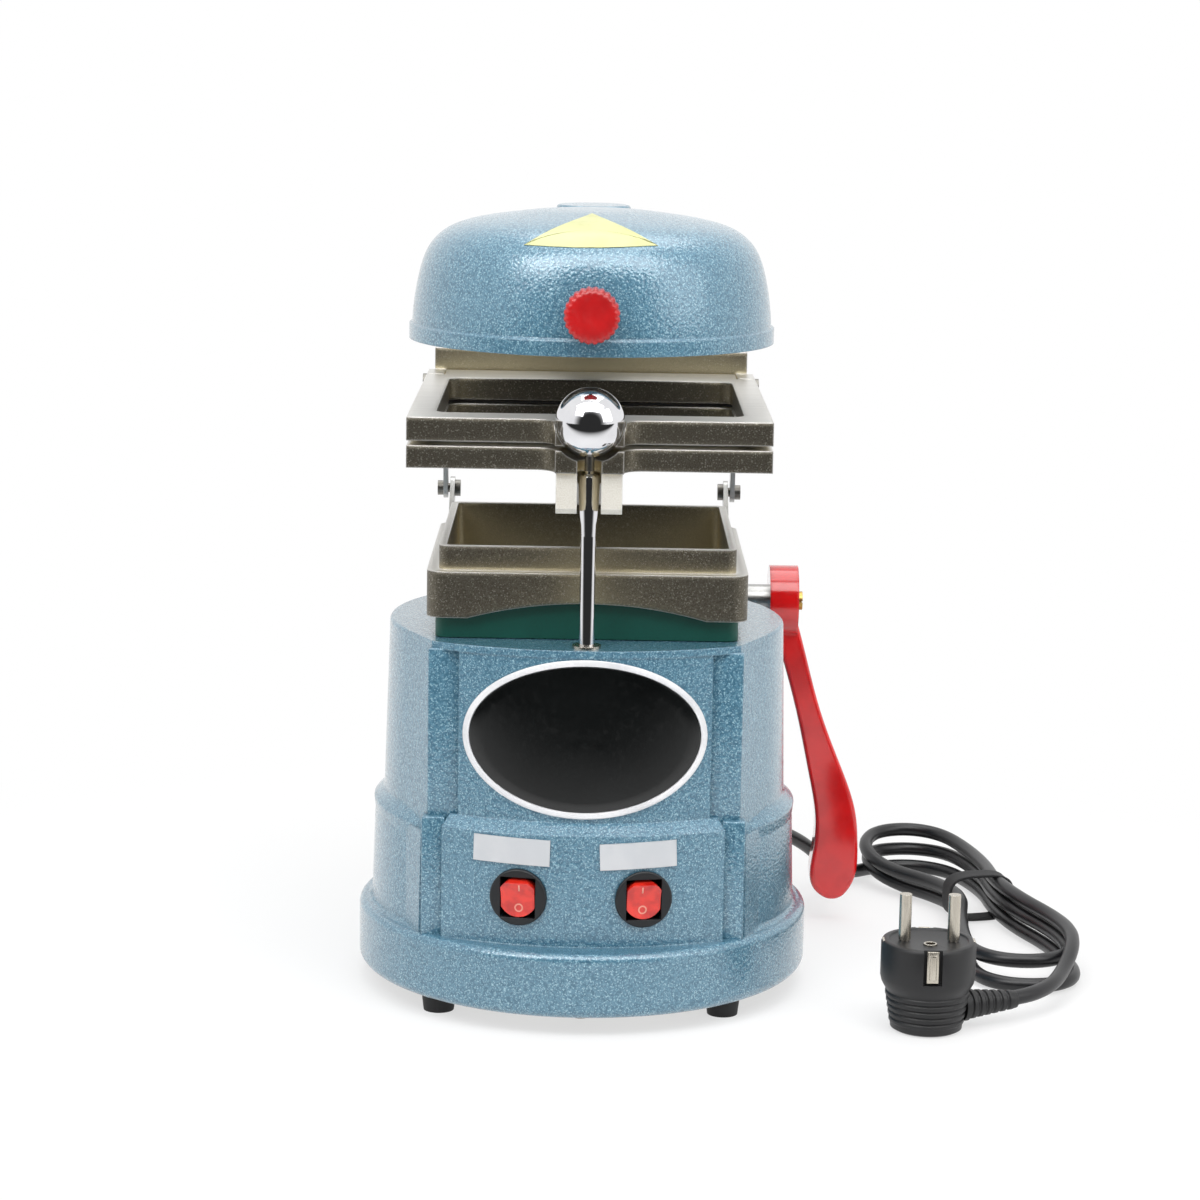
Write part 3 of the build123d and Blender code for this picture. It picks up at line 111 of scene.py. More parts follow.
class Graph:
    """A material's node tree, with a short call for each node that the finishes use."""

    def __init__(self, name: str) -> None:
        """Starts a material with an empty tree, a Principled shader and object coordinates.

        Args:
            name: the material's name.
        """
        self.material = bpy.data.materials.new(name)
        self.material.use_nodes = True
        self.tree = self.material.node_tree
        self.tree.nodes.clear()
        self.output = self.tree.nodes.new("ShaderNodeOutputMaterial")
        self.shader = self.tree.nodes.new("ShaderNodeBsdfPrincipled")
        self.tree.links.new(self.shader.outputs[0], self.output.inputs[0])
        coordinates = self.tree.nodes.new("ShaderNodeTexCoord")
        self.place = coordinates.outputs["Object"]
        self.facing = coordinates.outputs["Normal"]

    def feed(self, node: bpy.types.Node, entry: Any, value: Any) -> None:
        """Links a socket into a node's input, or sets the input to a constant.

        Args:
            node: the node.
            entry: the input's name or number.
            value: a socket to link or a constant to set.
        """
        if isinstance(value, bpy.types.NodeSocket):
            self.tree.links.new(value, node.inputs[entry])
        else:
            node.inputs[entry].default_value = value

    def surface(self, **values: Any) -> bpy.types.Material:
        """Sets the Principled shader's inputs and returns the material.

        Args:
            values: input names with underscores for spaces, each a socket or a constant.

        Returns:
            The finished material.
        """
        for entry, value in values.items():
            self.feed(self.shader, entry.replace("_", " "), value)
        return self.material

    def sum(self, operation: str, first: Any, second: Any = 0.0) -> bpy.types.NodeSocket:
        """A Math node's result, held between 0 and 1.

        Args:
            operation: the node's operation.
            first: a socket or a constant.
            second: another one.

        Returns:
            The result's socket.
        """
        node = self.tree.nodes.new("ShaderNodeMath")
        node.operation = operation
        node.use_clamp = True
        self.feed(node, 0, first)
        self.feed(node, 1, second)
        return node.outputs[0]

    def noise(
        self, size_mm: float, detail: float = 2.0, place: Any = None
    ) -> bpy.types.NodeSocket:
        """Soft random value with features about that many millimetres across.

        Args:
            size_mm: how far across a feature is.
            detail: how many finer layers it has.
            place: coordinates to use instead of the object's own.

        Returns:
            A value round 0.5.
        """
        node = self.tree.nodes.new("ShaderNodeTexNoise")
        self.feed(node, "Vector", place or self.place)
        self.feed(node, "Scale", 1 / (size_mm * MM))
        self.feed(node, "Detail", detail)
        return node.outputs[0]

    def cells(self, size_mm: float, place: bpy.types.NodeSocket) -> bpy.types.NodeSocket:
        """Distance to the nearest of many random points that far apart.

        Args:
            size_mm: how far apart the points are.
            place: the coordinates.

        Returns:
            The distance, in shares of a cell.
        """
        node = self.tree.nodes.new("ShaderNodeTexVoronoi")
        node.feature = "SMOOTH_F1"
        self.feed(node, "Vector", place)
        self.feed(node, "Scale", 1 / (size_mm * MM))
        return node.outputs["Distance"]

    def flakes(self, size_mm: float) -> bpy.types.NodeSocket:
        """One random value for each cell of that size.

        Args:
            size_mm: how far across a cell is.

        Returns:
            A value from 0 to 1, level over each cell.
        """
        node = self.tree.nodes.new("ShaderNodeTexVoronoi")
        self.feed(node, "Vector", self.place)
        self.feed(node, "Scale", 1 / (size_mm * MM))
        split = self.tree.nodes.new("ShaderNodeSeparateColor")
        self.feed(split, 0, node.outputs["Color"])
        return split.outputs[0]

    def stretched(self, x: float, y: float, z: float) -> bpy.types.NodeSocket:
        """Object coordinates scaled along each axis, for brushed or streaked patterns.

        Args:
            x: the factor along X.
            y: the factor along Y.
            z: the factor along Z.

        Returns:
            The scaled coordinates.
        """
        node = self.tree.nodes.new("ShaderNodeMapping")
        self.feed(node, "Vector", self.place)
        self.feed(node, "Scale", (x, y, z))
        return node.outputs[0]

    def wobbled(self, size_mm: float, reach_mm: float) -> bpy.types.NodeSocket:
        """Object coordinates pushed about by noise, so that a pattern isn't regular.

        Args:
            size_mm: how far across the noise's features are.
            reach_mm: how far it pushes at most.

        Returns:
            The pushed coordinates.
        """
        node = self.tree.nodes.new("ShaderNodeTexNoise")
        self.feed(node, "Vector", self.place)
        self.feed(node, "Scale", 1 / (size_mm * MM))
        push = self.tree.nodes.new("ShaderNodeVectorMath")
        push.operation = "MULTIPLY_ADD"
        self.feed(push, 0, node.outputs["Color"])
        self.feed(push, 1, (reach_mm * MM,) * 3)
        self.feed(push, 2, self.place)
        return push.outputs[0]

    def part(self, vector: bpy.types.NodeSocket, axis: int) -> bpy.types.NodeSocket:
        """One component of a vector.

        Args:
            vector: the vector's socket.
            axis: 0, 1 or 2 for X, Y or Z.

        Returns:
            The component's socket.
        """
        node = self.tree.nodes.new("ShaderNodeSeparateXYZ")
        self.feed(node, 0, vector)
        return node.outputs[axis]

    def between(self, value: Any, low: float, high: float) -> bpy.types.NodeSocket:
        """0 up to low, 1 from high on, and a smooth step from one to the other.

        Args:
            value: a socket or a constant.
            low: where the step starts.
            high: where it ends.

        Returns:
            A value from 0 to 1.
        """
        node = self.tree.nodes.new("ShaderNodeMapRange")
        node.interpolation_type = "SMOOTHSTEP"
        self.feed(node, "Value", value)
        self.feed(node, "From Min", low)
        self.feed(node, "From Max", high)
        return node.outputs[0]

    def scaled(self, value: Any, low: float, high: float) -> bpy.types.NodeSocket:
        """A 0 to 1 value spread from low to high.

        Args:
            value: a socket or a constant, from 0 to 1.
            low: the result at 0.
            high: the result at 1.

        Returns:
            The spread value.
        """
        node = self.tree.nodes.new("ShaderNodeMapRange")
        self.feed(node, "Value", value)
        self.feed(node, "To Min", low)
        self.feed(node, "To Max", high)
        return node.outputs[0]

    def mixed(self, share: Any, first: Any, second: Any) -> bpy.types.NodeSocket:
        """Two colours mixed by a share from 0, the first, to 1, the second.

        Args:
            share: a socket or a constant, from 0 to 1.
            first: the colour at 0.
            second: the colour at 1.

        Returns:
            The mixed colour.
        """
        node = self.tree.nodes.new("ShaderNodeMix")
        node.data_type = "RGBA"
        self.feed(node, 0, share)
        self.feed(node, 6, first)
        self.feed(node, 7, second)
        return node.outputs[2]

    def bump(
        self, height: Any, depth_mm: float, strength: float, under: bpy.types.NodeSocket
    ) -> bpy.types.NodeSocket:
        """A bumped normal of that depth, on top of another one.

        Args:
            height: the height's socket, from 0 to 1.
            depth_mm: how deep a height of 1 is.
            strength: how much of it shows.
            under: the normal below it.

        Returns:
            The bumped normal.
        """
        node = self.tree.nodes.new("ShaderNodeBump")
        self.feed(node, "Strength", strength)
        self.feed(node, "Distance", depth_mm * MM)
        self.feed(node, "Height", height)
        self.feed(node, "Normal", under)
        return node.outputs[0]

    def soft_edge(self, radius_mm: float) -> bpy.types.NodeSocket:
        """A normal that rounds sharp edges over that radius.

        Args:
            radius_mm: the radius.

        Returns:
            The rounded normal.
        """
        node = self.tree.nodes.new("ShaderNodeBevel")
        node.samples = 4
        self.feed(node, "Radius", radius_mm * MM)
        return node.outputs[0]

    def sheltered(self, reach_mm: float) -> bpy.types.NodeSocket:
        """Share of shelter, from 0 in the open to 1 deep inside a casting.

        Args:
            reach_mm: how far off a wall still shelters a point.

        Returns:
            The share.
        """
        node = self.tree.nodes.new("ShaderNodeAmbientOcclusion")
        node.samples = 6
        self.feed(node, "Distance", reach_mm * MM)
        return self.between(node.outputs["AO"], *SHELTER_ZONE)

    def edge_highlight_mask(self, rounded: bpy.types.NodeSocket) -> bpy.types.NodeSocket:
        """Share of edge, from 0 on a flat face to 1 on a corner.

        Args:
            rounded: the normal that soft_edge gives.

        Returns:
            How far the rounded normal leans away from the true one.
        """
        true = self.tree.nodes.new("ShaderNodeNewGeometry").outputs["Normal"]
        node = self.tree.nodes.new("ShaderNodeVectorMath")
        node.operation = "DOT_PRODUCT"
        self.feed(node, 0, rounded)
        self.feed(node, 1, true)
        return self.between(node.outputs["Value"], *CORNER_ZONE)


@dataclass(frozen=True)
class Finish:
    """A surface finish that is mixed once and shared by the pieces that wear it."""

    name: str

    def material(self) -> bpy.types.Material:
        """The finish's material, mixed the first time that it is asked for."""
        label = f"{self.name}_finish"
        return bpy.data.materials.get(label) or self.mix(Graph(label))

    def mix(self, graph: Graph) -> bpy.types.Material:
        """Builds the node tree; each kind of finish has its own.

        Args:
            graph: the material's graph.

        Returns:
            The finished material.
        """
        raise NotImplementedError


@dataclass(frozen=True)
class Hammertone(Finish):
    """Hammer-effect stove enamel: pebbled, with painted highlights on the tops and painted shade
    in the hollows.
    """

    # The darkest colour is painted shade for the hollows, the lightest painted highlight for the
    # pebble tops.
    painted_hollow_shade: Rgba = ink(52, 98, 122)
    body: Rgba = ink(78, 124, 146)
    painted_crest_highlight: Rgba = ink(156, 194, 208)
    pebble_mm: float = 1.05
    warp_mm: Pair = (1.1, 0.8)
    fine_mm: float = 0.6
    cloud_mm: float = 22.0
    hollow_shade_zone: Pair = (0.30, 0.62)
    crest_highlight_zone: Pair = (0.26, 0.05)
    highlight_speck_zone: Pair = (0.52, 0.70)
    cloud_share: float = 0.4
    rough: Pair = (0.24, 0.4)
    rough_zone: Pair = (0.1, 0.6)
    metallic: float = 0.1
    depth_mm: float = 0.2
    relief: float = 0.75
    edge_mm: float = 0.9
    coat_ior: float = 1.65
    coat_rough: float = 0.14

    def mix(self, graph: Graph) -> bpy.types.Material:
        """Warped-cell pebbles with painted shade and painted highlights, broken up by a slower
        cloud.

        Args:
            graph: the material's graph.

        Returns:
            The finished material.
        """
        pebbles = graph.cells(self.pebble_mm, graph.wobbled(*self.warp_mm))
        fine = graph.noise(self.fine_mm, 3.0)
        cloud = graph.noise(self.cloud_mm)
        # Painted shade in the hollows between pebbles, painted highlight on their crests.
        low = graph.mixed(graph.between(pebbles, *self.hollow_shade_zone), self.body, self.painted_hollow_shade)
        high = graph.mixed(graph.between(pebbles, *self.crest_highlight_zone), low, self.painted_crest_highlight)
        # Painted highlight specks in the crest colour, scattered at random.
        painted_highlight = graph.mixed(graph.between(fine, *self.highlight_speck_zone), high, self.painted_crest_highlight)
        shade = graph.mixed(graph.scaled(cloud, 0.0, self.cloud_share), painted_highlight, self.body)
        rough = graph.scaled(graph.between(pebbles, *self.rough_zone), *self.rough)
        skin = graph.bump(pebbles, -self.depth_mm, self.relief, graph.soft_edge(self.edge_mm))
        return graph.surface(
            Base_Color=shade,
            Roughness=rough,
            Metallic=self.metallic,
            Normal=skin,
            Coat_Weight=1.0,
            Coat_IOR=self.coat_ior,
            Coat_Roughness=self.coat_rough,
            Coat_Normal=skin,
        )


@dataclass(frozen=True)
class CastAlloy(Finish):
    """Aluminium casting: up-facing faces painted bright with machining streaks as reflected top
    light, grainy sides painted darker as shade.
    """

    # The top colour is painted light for up-facing faces and the side colour painted shade for the
    # rest; the glint colour is painted glints, the sheltered-inside colour painted bounce light,
    # and the edge colour painted edge highlights.
    top: Rgba = ink(232, 230, 224)
    side: Rgba = ink(116, 111, 99)
    grain: Rgba = ink(78, 74, 65)
    glint: Rgba = ink(214, 208, 196)
    painted_bounce_light: Rgba = ink(222, 208, 170)
    edge: Rgba = ink(242, 240, 236)
    top_light_zone: Pair = (0.55, 0.9)
    grain_mm: float = 0.5
    grain_zone: Pair = (0.36, 0.66)
    glint_mm: float = 0.4
    glint_from: float = 0.93
    glint_share: float = 0.45
    cloud_mm: float = 16.0
    cloud_share: float = 0.5
    shelter_mm: float = 45.0
    bounce_light_share: float = 0.9
    cut_mm: float = 1.0
    cut_run: Triple = (0.05, 1.0, 1.0)
    cut_share: float = 0.35
    edge_highlight_share: float = 0.85
    edge_mm: float = 0.8
    corner_mm: float = 2.6
    rough: Pair = (0.42, 0.30)
    depth_mm: float = 0.05
    relief: float = 0.5
    metallic: float = 0.85

    def mix(self, graph: Graph) -> bpy.types.Material:
        """Painted light by which way a face points: bright streaked tops, and darker grainy sides
        as shade.

        Args:
            graph: the material's graph.

        Returns:
            The finished material.
        """
        # Faces pointing up get painted light, the rest painted shade.
        painted_top_light_mask = graph.between(graph.part(graph.facing, 2), *self.top_light_zone)
        speckle = graph.between(graph.noise(self.grain_mm, 4.0), *self.grain_zone)
        sides = graph.mixed(speckle, self.grain, self.side)
        # Painted glints: random cells lit up in the glint colour.
        painted_glints = graph.sum("GREATER_THAN", graph.flakes(self.glint_mm), self.glint_from)
        painted_glints = graph.sum("MULTIPLY", painted_glints, self.glint_share)
        sides = graph.mixed(painted_glints, sides, self.glint)
        cloud = graph.noise(self.cloud_mm)
        sides = graph.mixed(graph.scaled(cloud, 0.0, self.cloud_share), sides, self.side)
        # Painted bounce light, lighter where the casting shelters a face.
        inside = graph.sum("MULTIPLY", graph.sheltered(self.shelter_mm), self.bounce_light_share)
        sides = graph.mixed(inside, sides, self.painted_bounce_light)
        cuts = graph.noise(self.cut_mm, 2.0, graph.stretched(*self.cut_run))
        bright = graph.mixed(graph.scaled(cuts, 0.0, self.cut_share), self.top, self.side)
        colour = graph.mixed(painted_top_light_mask, sides, bright)
        # Painted highlights along the rounded edges.
        painted_highlight = graph.edge_highlight_mask(graph.soft_edge(self.edge_mm))
        painted_highlight = graph.sum("MULTIPLY", painted_highlight, self.edge_highlight_share)
        colour = graph.mixed(painted_highlight, colour, self.edge)
        rough = graph.scaled(painted_top_light_mask, *self.rough)
        skin = graph.bump(speckle, self.depth_mm, self.relief, graph.soft_edge(self.corner_mm))
        return graph.surface(
            Base_Color=colour, Roughness=rough, Metallic=self.metallic, Normal=skin
        )


@dataclass(frozen=True)
class Metal(Finish):
    """Turned, drawn or plated metal with a fine brushed grain."""

    colour: Rgba = ink(190, 190, 188)
    shade: Rgba = ink(140, 140, 138)
    rough: float = 0.3
    spread: float = 0.12
    brush: Triple = (1.0, 1.0, 0.06)
    grain_mm: float = 0.6
    grain_share: float = 0.7
    stain_mm: float = 9.0
    stain_zone: Pair = (0.45, 0.75)
    stain_share: float = 0.35
    depth_mm: float = 0.01
    relief: float = 0.5
    edge_mm: float = 0.25

    def mix(self, graph: Graph) -> bpy.types.Material:
        """A streaked grain in colour, gloss and height.

        Args:
            graph: the material's graph.

        Returns:
            The finished material.
        """
        grain = graph.noise(self.grain_mm, 3.0, graph.stretched(*self.brush))
        stain = graph.between(graph.noise(self.stain_mm, 3.0), *self.stain_zone)
        colour = graph.mixed(graph.scaled(grain, 0.0, self.grain_share), self.colour, self.shade)
        colour = graph.mixed(graph.scaled(stain, 0.0, self.stain_share), colour, self.shade)
        rough = graph.scaled(grain, self.rough, self.rough + self.spread)
        skin = graph.bump(grain, self.depth_mm, self.relief, graph.soft_edge(self.edge_mm))
        return graph.surface(Base_Color=colour, Roughness=rough, Metallic=1.0, Normal=skin)


@dataclass(frozen=True)
class Gloss(Finish):
    """Smooth moulded or enamelled surface with a slight orange peel and handling marks."""

    colour: Rgba = ink(200, 20, 20)
    shade: Rgba = ink(150, 10, 12)
    rough: float = 0.2
    spread: float = 0.12
    coat: float = 0.5
    coat_rough: float = 0.08
    mark_mm: float = 2.2
    mark_zone: Pair = (0.5, 0.72)
    peel_mm: float = 1.6
    depth_mm: float = 0.02
    relief: float = 0.6
    cloud_mm: float = 14.0
    cloud_zone: Pair = (0.35, 0.7)
    edge_mm: float = 0.4

    def mix(self, graph: Graph) -> bpy.types.Material:
        """A cloudy colour under a faintly rippled skin.

        Args:
            graph: the material's graph.

        Returns:
            The finished material.
        """
        cloud = graph.noise(self.cloud_mm, 3.0)
        marks = graph.between(graph.noise(self.mark_mm, 5.0), *self.mark_zone)
        colour = graph.mixed(graph.between(cloud, *self.cloud_zone), self.colour, self.shade)
        rough = graph.scaled(marks, self.rough, self.rough + self.spread)
        ripple = graph.noise(self.peel_mm)
        skin = graph.bump(ripple, self.depth_mm, self.relief, graph.soft_edge(self.edge_mm))
        return graph.surface(
            Base_Color=colour,
            Roughness=rough,
            Normal=skin,
            Coat_Weight=self.coat,
            Coat_Roughness=self.coat_rough,
        )


@dataclass(frozen=True)
class Matt(Finish):
    """Rubber, moulded grip plastic, felt or fired clay: dull with a fine tooth."""

    colour: Rgba = ink(24, 24, 26)
    shade: Rgba = ink(44, 44, 46)
    rough: float = 0.5
    spread: float = 0.18
    tooth_mm: float = 0.5
    tooth_share: float = 0.8
    depth_mm: float = 0.04
    relief: float = 0.6
    edge_mm: float = 0.4
    dust: float = 0.25
    dust_mm: float = 7.0
    dust_zone: Pair = (0.45, 0.75)

    def mix(self, graph: Graph) -> bpy.types.Material:
        """A toothed skin with a little dust in patches.

        Args:
            graph: the material's graph.

        Returns:
            The finished material.
        """
        tooth = graph.noise(self.tooth_mm, 3.0)
        patch = graph.between(graph.noise(self.dust_mm, 4.0), *self.dust_zone)
        colour = graph.mixed(graph.scaled(tooth, 0.0, self.tooth_share), self.colour, self.shade)
        colour = graph.mixed(graph.scaled(patch, 0.0, self.dust), colour, self.shade)
        rough = graph.scaled(tooth, self.rough, self.rough + self.spread)
        skin = graph.bump(tooth, self.depth_mm, self.relief, graph.soft_edge(self.edge_mm))
        return graph.surface(Base_Color=colour, Roughness=rough, Normal=skin)


class Slot(Enum):
    """The record's material slots for the new pieces."""

    RED_PLASTIC = "red_plastic"
    BADGE = "badge"
    ROCKER = "rocker_red"
    CORD = "cord_black"
    STEEL = "bright_steel"
    BLUE = "hammer_blue"


class Wear:
    """Every finish of the machine, by the part that wears it."""

    BLUE = Hammertone("hammer_blue_enamel")
    CASTING = CastAlloy("cast_alloy")
    FORK = CastAlloy(
        "machined_alloy",
        side=ink(236, 233, 224), grain=ink(222, 217, 205), corner_mm=0.8, metallic=0.3,
    )
    PRESSED = Metal(
        "pressed_plate", ink(186, 186, 182), ink(132, 132, 128),
        rough=0.34, spread=0.14, brush=(1, 0.1, 1), grain_mm=0.8,
    )
    STEEL = Metal("bright_steel", ink(198, 198, 196), ink(142, 142, 140), rough=0.24)
    CHROME = Metal(
        "mirror_chrome", ink(236, 236, 238), ink(214, 214, 218),
        rough=0.03, spread=0.05, brush=(1, 1, 1), grain_mm=6.0, depth_mm=0.0,
    )
    SCREW = Metal(
        "zinc_screw", ink(150, 148, 142), ink(86, 84, 80),
        rough=0.3, spread=0.16, brush=(1, 1, 1), grain_mm=1.4,
    )
    BRASS = Metal(
        "turned_brass", ink(212, 176, 104), ink(158, 122, 62),
        rough=0.26, spread=0.14, brush=(1, 1, 0.2), grain_mm=0.7,
    )
    PINS = Metal(
        "nickel_pin", ink(214, 208, 196), ink(168, 160, 146),
        rough=0.2, spread=0.12, brush=(1, 1, 0.08), grain_mm=0.6,
    )
    LEVER = Gloss(
        "lever_enamel", ink(222, 20, 22), ink(200, 12, 16), rough=0.12, coat=0.9, edge_mm=1.7
    )
    KNOB = Gloss(
        "knob_plastic", ink(184, 10, 14), ink(154, 6, 10), rough=0.3, coat=0.25, peel_mm=0.8
    )
    ROCKER = Gloss(
        "rocker_plastic", ink(226, 48, 34), ink(186, 26, 20),
        rough=0.14, coat=0.6, peel_mm=3.0, depth_mm=0.01, cloud_mm=5.0,
    )
    MARK = Gloss(
        "rocker_mark", ink(240, 168, 150), ink(228, 150, 132), rough=0.4, coat=0.0, peel_mm=0.6
    )
    BEZEL = Matt(
        "bezel_plastic", ink(14, 15, 17), ink(28, 31, 35), rough=0.36, tooth_mm=0.4, depth_mm=0.02
    )
    FACE = Gloss(
        "badge_face", ink(8, 10, 10), ink(13, 15, 15),
        rough=0.1, coat=0.3, peel_mm=6.0, depth_mm=0.01, cloud_mm=30.0,
    )
    RIM = Gloss(
        "badge_rim", ink(226, 226, 228), ink(208, 209, 212),
        rough=0.26, coat=0.3, peel_mm=3.0, depth_mm=0.01, cloud_mm=20.0,
    )
    LABEL = Gloss(
        "label_film", ink(196, 198, 201), ink(189, 192, 196),
        rough=0.4, coat=0.15, peel_mm=5.0, depth_mm=0.01, cloud_mm=12.0,
    )
    PATCH = Gloss(
        "patch_film", ink(200, 201, 144), ink(190, 191, 130),
        rough=0.36, coat=0.2, peel_mm=5.0, cloud_mm=16.0,
    )
    GASKET = Matt(
        "green_gasket", ink(0, 64, 54), ink(2, 84, 70),
        rough=0.4, tooth_mm=0.9, depth_mm=0.05, dust=0.2,
    )
    SEAL = Matt("seal_rubber", ink(30, 30, 30), ink(52, 52, 50))
    FOOT = Matt(
        "foot_rubber", ink(14, 14, 15), ink(34, 34, 35),
        rough=0.55, tooth_mm=0.8, depth_mm=0.06, dust=0.35,
    )
    CORD = Matt(
        "cord_sheath", ink(12, 12, 14), ink(28, 28, 31),
        rough=0.26, tooth_mm=0.7, depth_mm=0.02, dust=0.2,
    )
    PLUG = Matt(
        "plug_moulding", ink(14, 14, 15), ink(32, 32, 34),
        rough=0.36, tooth_mm=0.35, depth_mm=0.025, dust=0.3,
    )
    TIE = Matt(
        "tie_strip", ink(12, 12, 13), ink(30, 30, 32), rough=0.6, depth_mm=0.08, dust=0.3
    )
    MOTOR = Metal(
        "motor_can", ink(150, 152, 154), ink(96, 98, 100),
        rough=0.34, spread=0.16, brush=(1, 1, 0.08), grain_mm=0.9,
    )
    FAN = Matt("fan_plastic", ink(70, 74, 78), ink(96, 100, 104), rough=0.42)
    SHEATH = Metal(
        "heater_sheath", ink(92, 84, 76), ink(54, 46, 40),
        rough=0.42, spread=0.18, brush=(1, 1, 1), grain_mm=1.2, depth_mm=0.03,
    )
    CERAMIC = Matt(
        "fired_ceramic", ink(222, 214, 198), ink(196, 186, 168),
        rough=0.55, tooth_mm=0.6, dust=0.3,
    )


# --------------------------------------------------------------------------- modelling


class Pick(Enum):
    """What a selection in edit mode is made of."""

    POINTS = (True, False, False)
    EDGES = (False, True, False)
    FACES = (False, False, True)


class Bench:
    """One mesh piece on the bench, shaped with edit-mode tools and then finished."""

    def __init__(self, name: str) -> None:
        """Takes the object that the last primitive operator added.

        Args:
            name: the piece's name.
        """
        self.piece = bpy.context.object
        self.piece.name = name
        self.settle()

    @staticmethod
    def clear() -> None:
        """Leaves edit mode and deselects every object."""
        if bpy.context.object and bpy.context.object.mode != "OBJECT":
            bpy.ops.object.mode_set(mode="OBJECT")
        bpy.ops.object.select_all(action="DESELECT")

    @classmethod
    def tube(
        cls, name: str, radius: float, depth: float, at: Vector, facing: Vector, count: int = 64
    ) -> "Bench":
        """Starts from a cylinder, with its radius and depth in millimetres.

        Args:
            name: the piece's name.
            radius: its radius.
            depth: its length.
            at: its middle, in metres.
            facing: its axis's direction.
            count: how many sides it has.

        Returns:
            The cylinder.
        """
        cls.clear()
        turn = UP.rotation_difference(facing).to_euler()
        bpy.ops.mesh.primitive_cylinder_add(
            vertices=count, radius=radius * MM, depth=depth * MM, location=at, rotation=turn
        )
        return cls(name)

    @classmethod
    def block(cls, name: str, size: Point, at: Vector, turn: Optional[Matrix] = None) -> "Bench":
        """Starts from a box, with its sides in millimetres.

        Args:
            name: the piece's name.
            size: its sides.
            at: its middle, in metres.
            turn: its turn from the frame's axes, if it has one.

        Returns:
            The box.
        """
        cls.clear()
        bpy.ops.mesh.primitive_cube_add(size=MM, location=at)
        bpy.context.object.scale = size
        if turn is not None:
            bpy.context.object.rotation_euler = turn.to_euler()
        return cls(name)

    @classmethod
    def hoop(cls, name: str, at: Vector, facing: Vector, count: int) -> "Bench":
        """Starts from an open circle of edges with a radius of one millimetre.

        Args:
            name: the piece's name.
            at: its middle, in metres.
            facing: its axis's direction.
            count: how many edges it has.

        Returns:
            The circle, in edit mode and all selected.
        """
        cls.clear()
        turn = UP.rotation_difference(facing).to_euler()
        bpy.ops.mesh.primitive_circle_add(
            vertices=count, radius=MM, fill_type="NOTHING", location=at, rotation=turn
        )
        bench = cls(name)
        bench.edit()
        bpy.ops.mesh.select_all(action="SELECT")
        return bench

    @classmethod
    def turned(
        cls, name: str, profile: Sequence[Pair], at: Vector, facing: Vector, count: int
    ) -> "Bench":
        """Draws a profile point by point and spins it round an axis.

        Args:
            name: the piece's name.
            profile: (radius, height) points in millimetres, from one end of the axis to the other.
            at: the axis's foot, in metres.
            facing: the axis's direction.
            count: how many steps a full turn has.

        Returns:
            The closed turned shape.
        """
        facing = facing.normalized()
        side = facing.orthogonal().normalized()
        points = [at + side * (radius * MM) + facing * (height * MM) for radius, height in profile]
        cls.clear()
        bpy.ops.mesh.primitive_plane_add(size=MM, location=points[0])
        bench = cls(name)
        bench.edit()
        bpy.ops.mesh.select_all(action="SELECT")
        bpy.ops.mesh.merge(type="CENTER")
        for start, end in zip(points, points[1:]):
            bench.extrude(end - start)
        bpy.ops.mesh.select_all(action="SELECT")
        bpy.ops.mesh.spin(steps=count, angle=TURN, center=at, axis=facing)
        bench.close_up()
        return bench

    @classmethod
    def copied(cls, name: str, node: str) -> "Bench":
        """Starts from a merged copy of a CAD node's mesh.

        Args:
            name: the piece's name.
            node: the CAD node's name.

        Returns:
            The copy, in the frame's own place.
        """
        cls.clear()
        twin = bpy.data.objects.new(name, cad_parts[node].data.copy())
        bpy.context.scene.collection.objects.link(twin)
        twin.select_set(True)
        bpy.context.view_layer.objects.active = twin
        bpy.ops.mesh.customdata_custom_splitnormals_clear()
        bench = cls(name)
        bench.close_up()
        return bench

    def edit(self, kind: Pick = Pick.POINTS) -> None:
        """Enters edit mode on this piece alone.

        Args:
            kind: what the selection tools pick.
        """
        if bpy.context.object != self.piece or self.piece.mode != "EDIT":
            self.clear()
            self.piece.select_set(True)
            bpy.context.view_layer.objects.active = self.piece
        if self.piece.mode == "EDIT":
            bpy.ops.object.mode_set(mode="OBJECT")
        bpy.context.tool_settings.mesh_select_mode = kind.value
        bpy.ops.object.mode_set(mode="EDIT")

    def settle(self) -> None:
        """Puts the piece's place, turn and scale into its mesh."""
        self.clear()
        self.piece.select_set(True)
        bpy.context.view_layer.objects.active = self.piece
        bpy.ops.object.transform_apply(location=True, rotation=True, scale=True)

    def pick(self, kind: Pick, test: Test) -> None:
        """Selects the edges or the faces that pass a test.

        Args:
            kind: edges or faces.
            test: called with the middle, in metres, and an edge's direction or a face's normal.
        """
        self.clear()
        mesh = self.piece.data
        for group in (mesh.vertices, mesh.edges, mesh.polygons):
            group.foreach_set("select", [False] * len(group))
        if kind is Pick.EDGES:
            for edge in mesh.edges:
                start, end = (mesh.vertices[index].co for index in edge.vertices)
                edge.select = test((start + end) / 2, (end - start).normalized())
        else:
            for face in mesh.polygons:
                face.select = test(face.center, face.normal)
        self.edit(kind)

    def extrude(self, move: Vector) -> None:
        """Extrudes the selection and moves the new part, in metres.

        Args:
            move: how far the new part goes.
        """
        bpy.ops.mesh.extrude_region_move(TRANSFORM_OT_translate={"value": move})

    def resize(self, factors: Point, centre: Vector) -> None:
        """Scales the selection about a point in metres.

        Args:
            factors: the factor along each axis.
            centre: the point that stays where it is.
        """
        bpy.ops.transform.resize(value=factors, center_override=centre)

    def inset(self, width: float) -> None:
        """Insets the selected faces by a width in millimetres."""
        bpy.ops.mesh.inset(thickness=width * MM, depth=0.0)

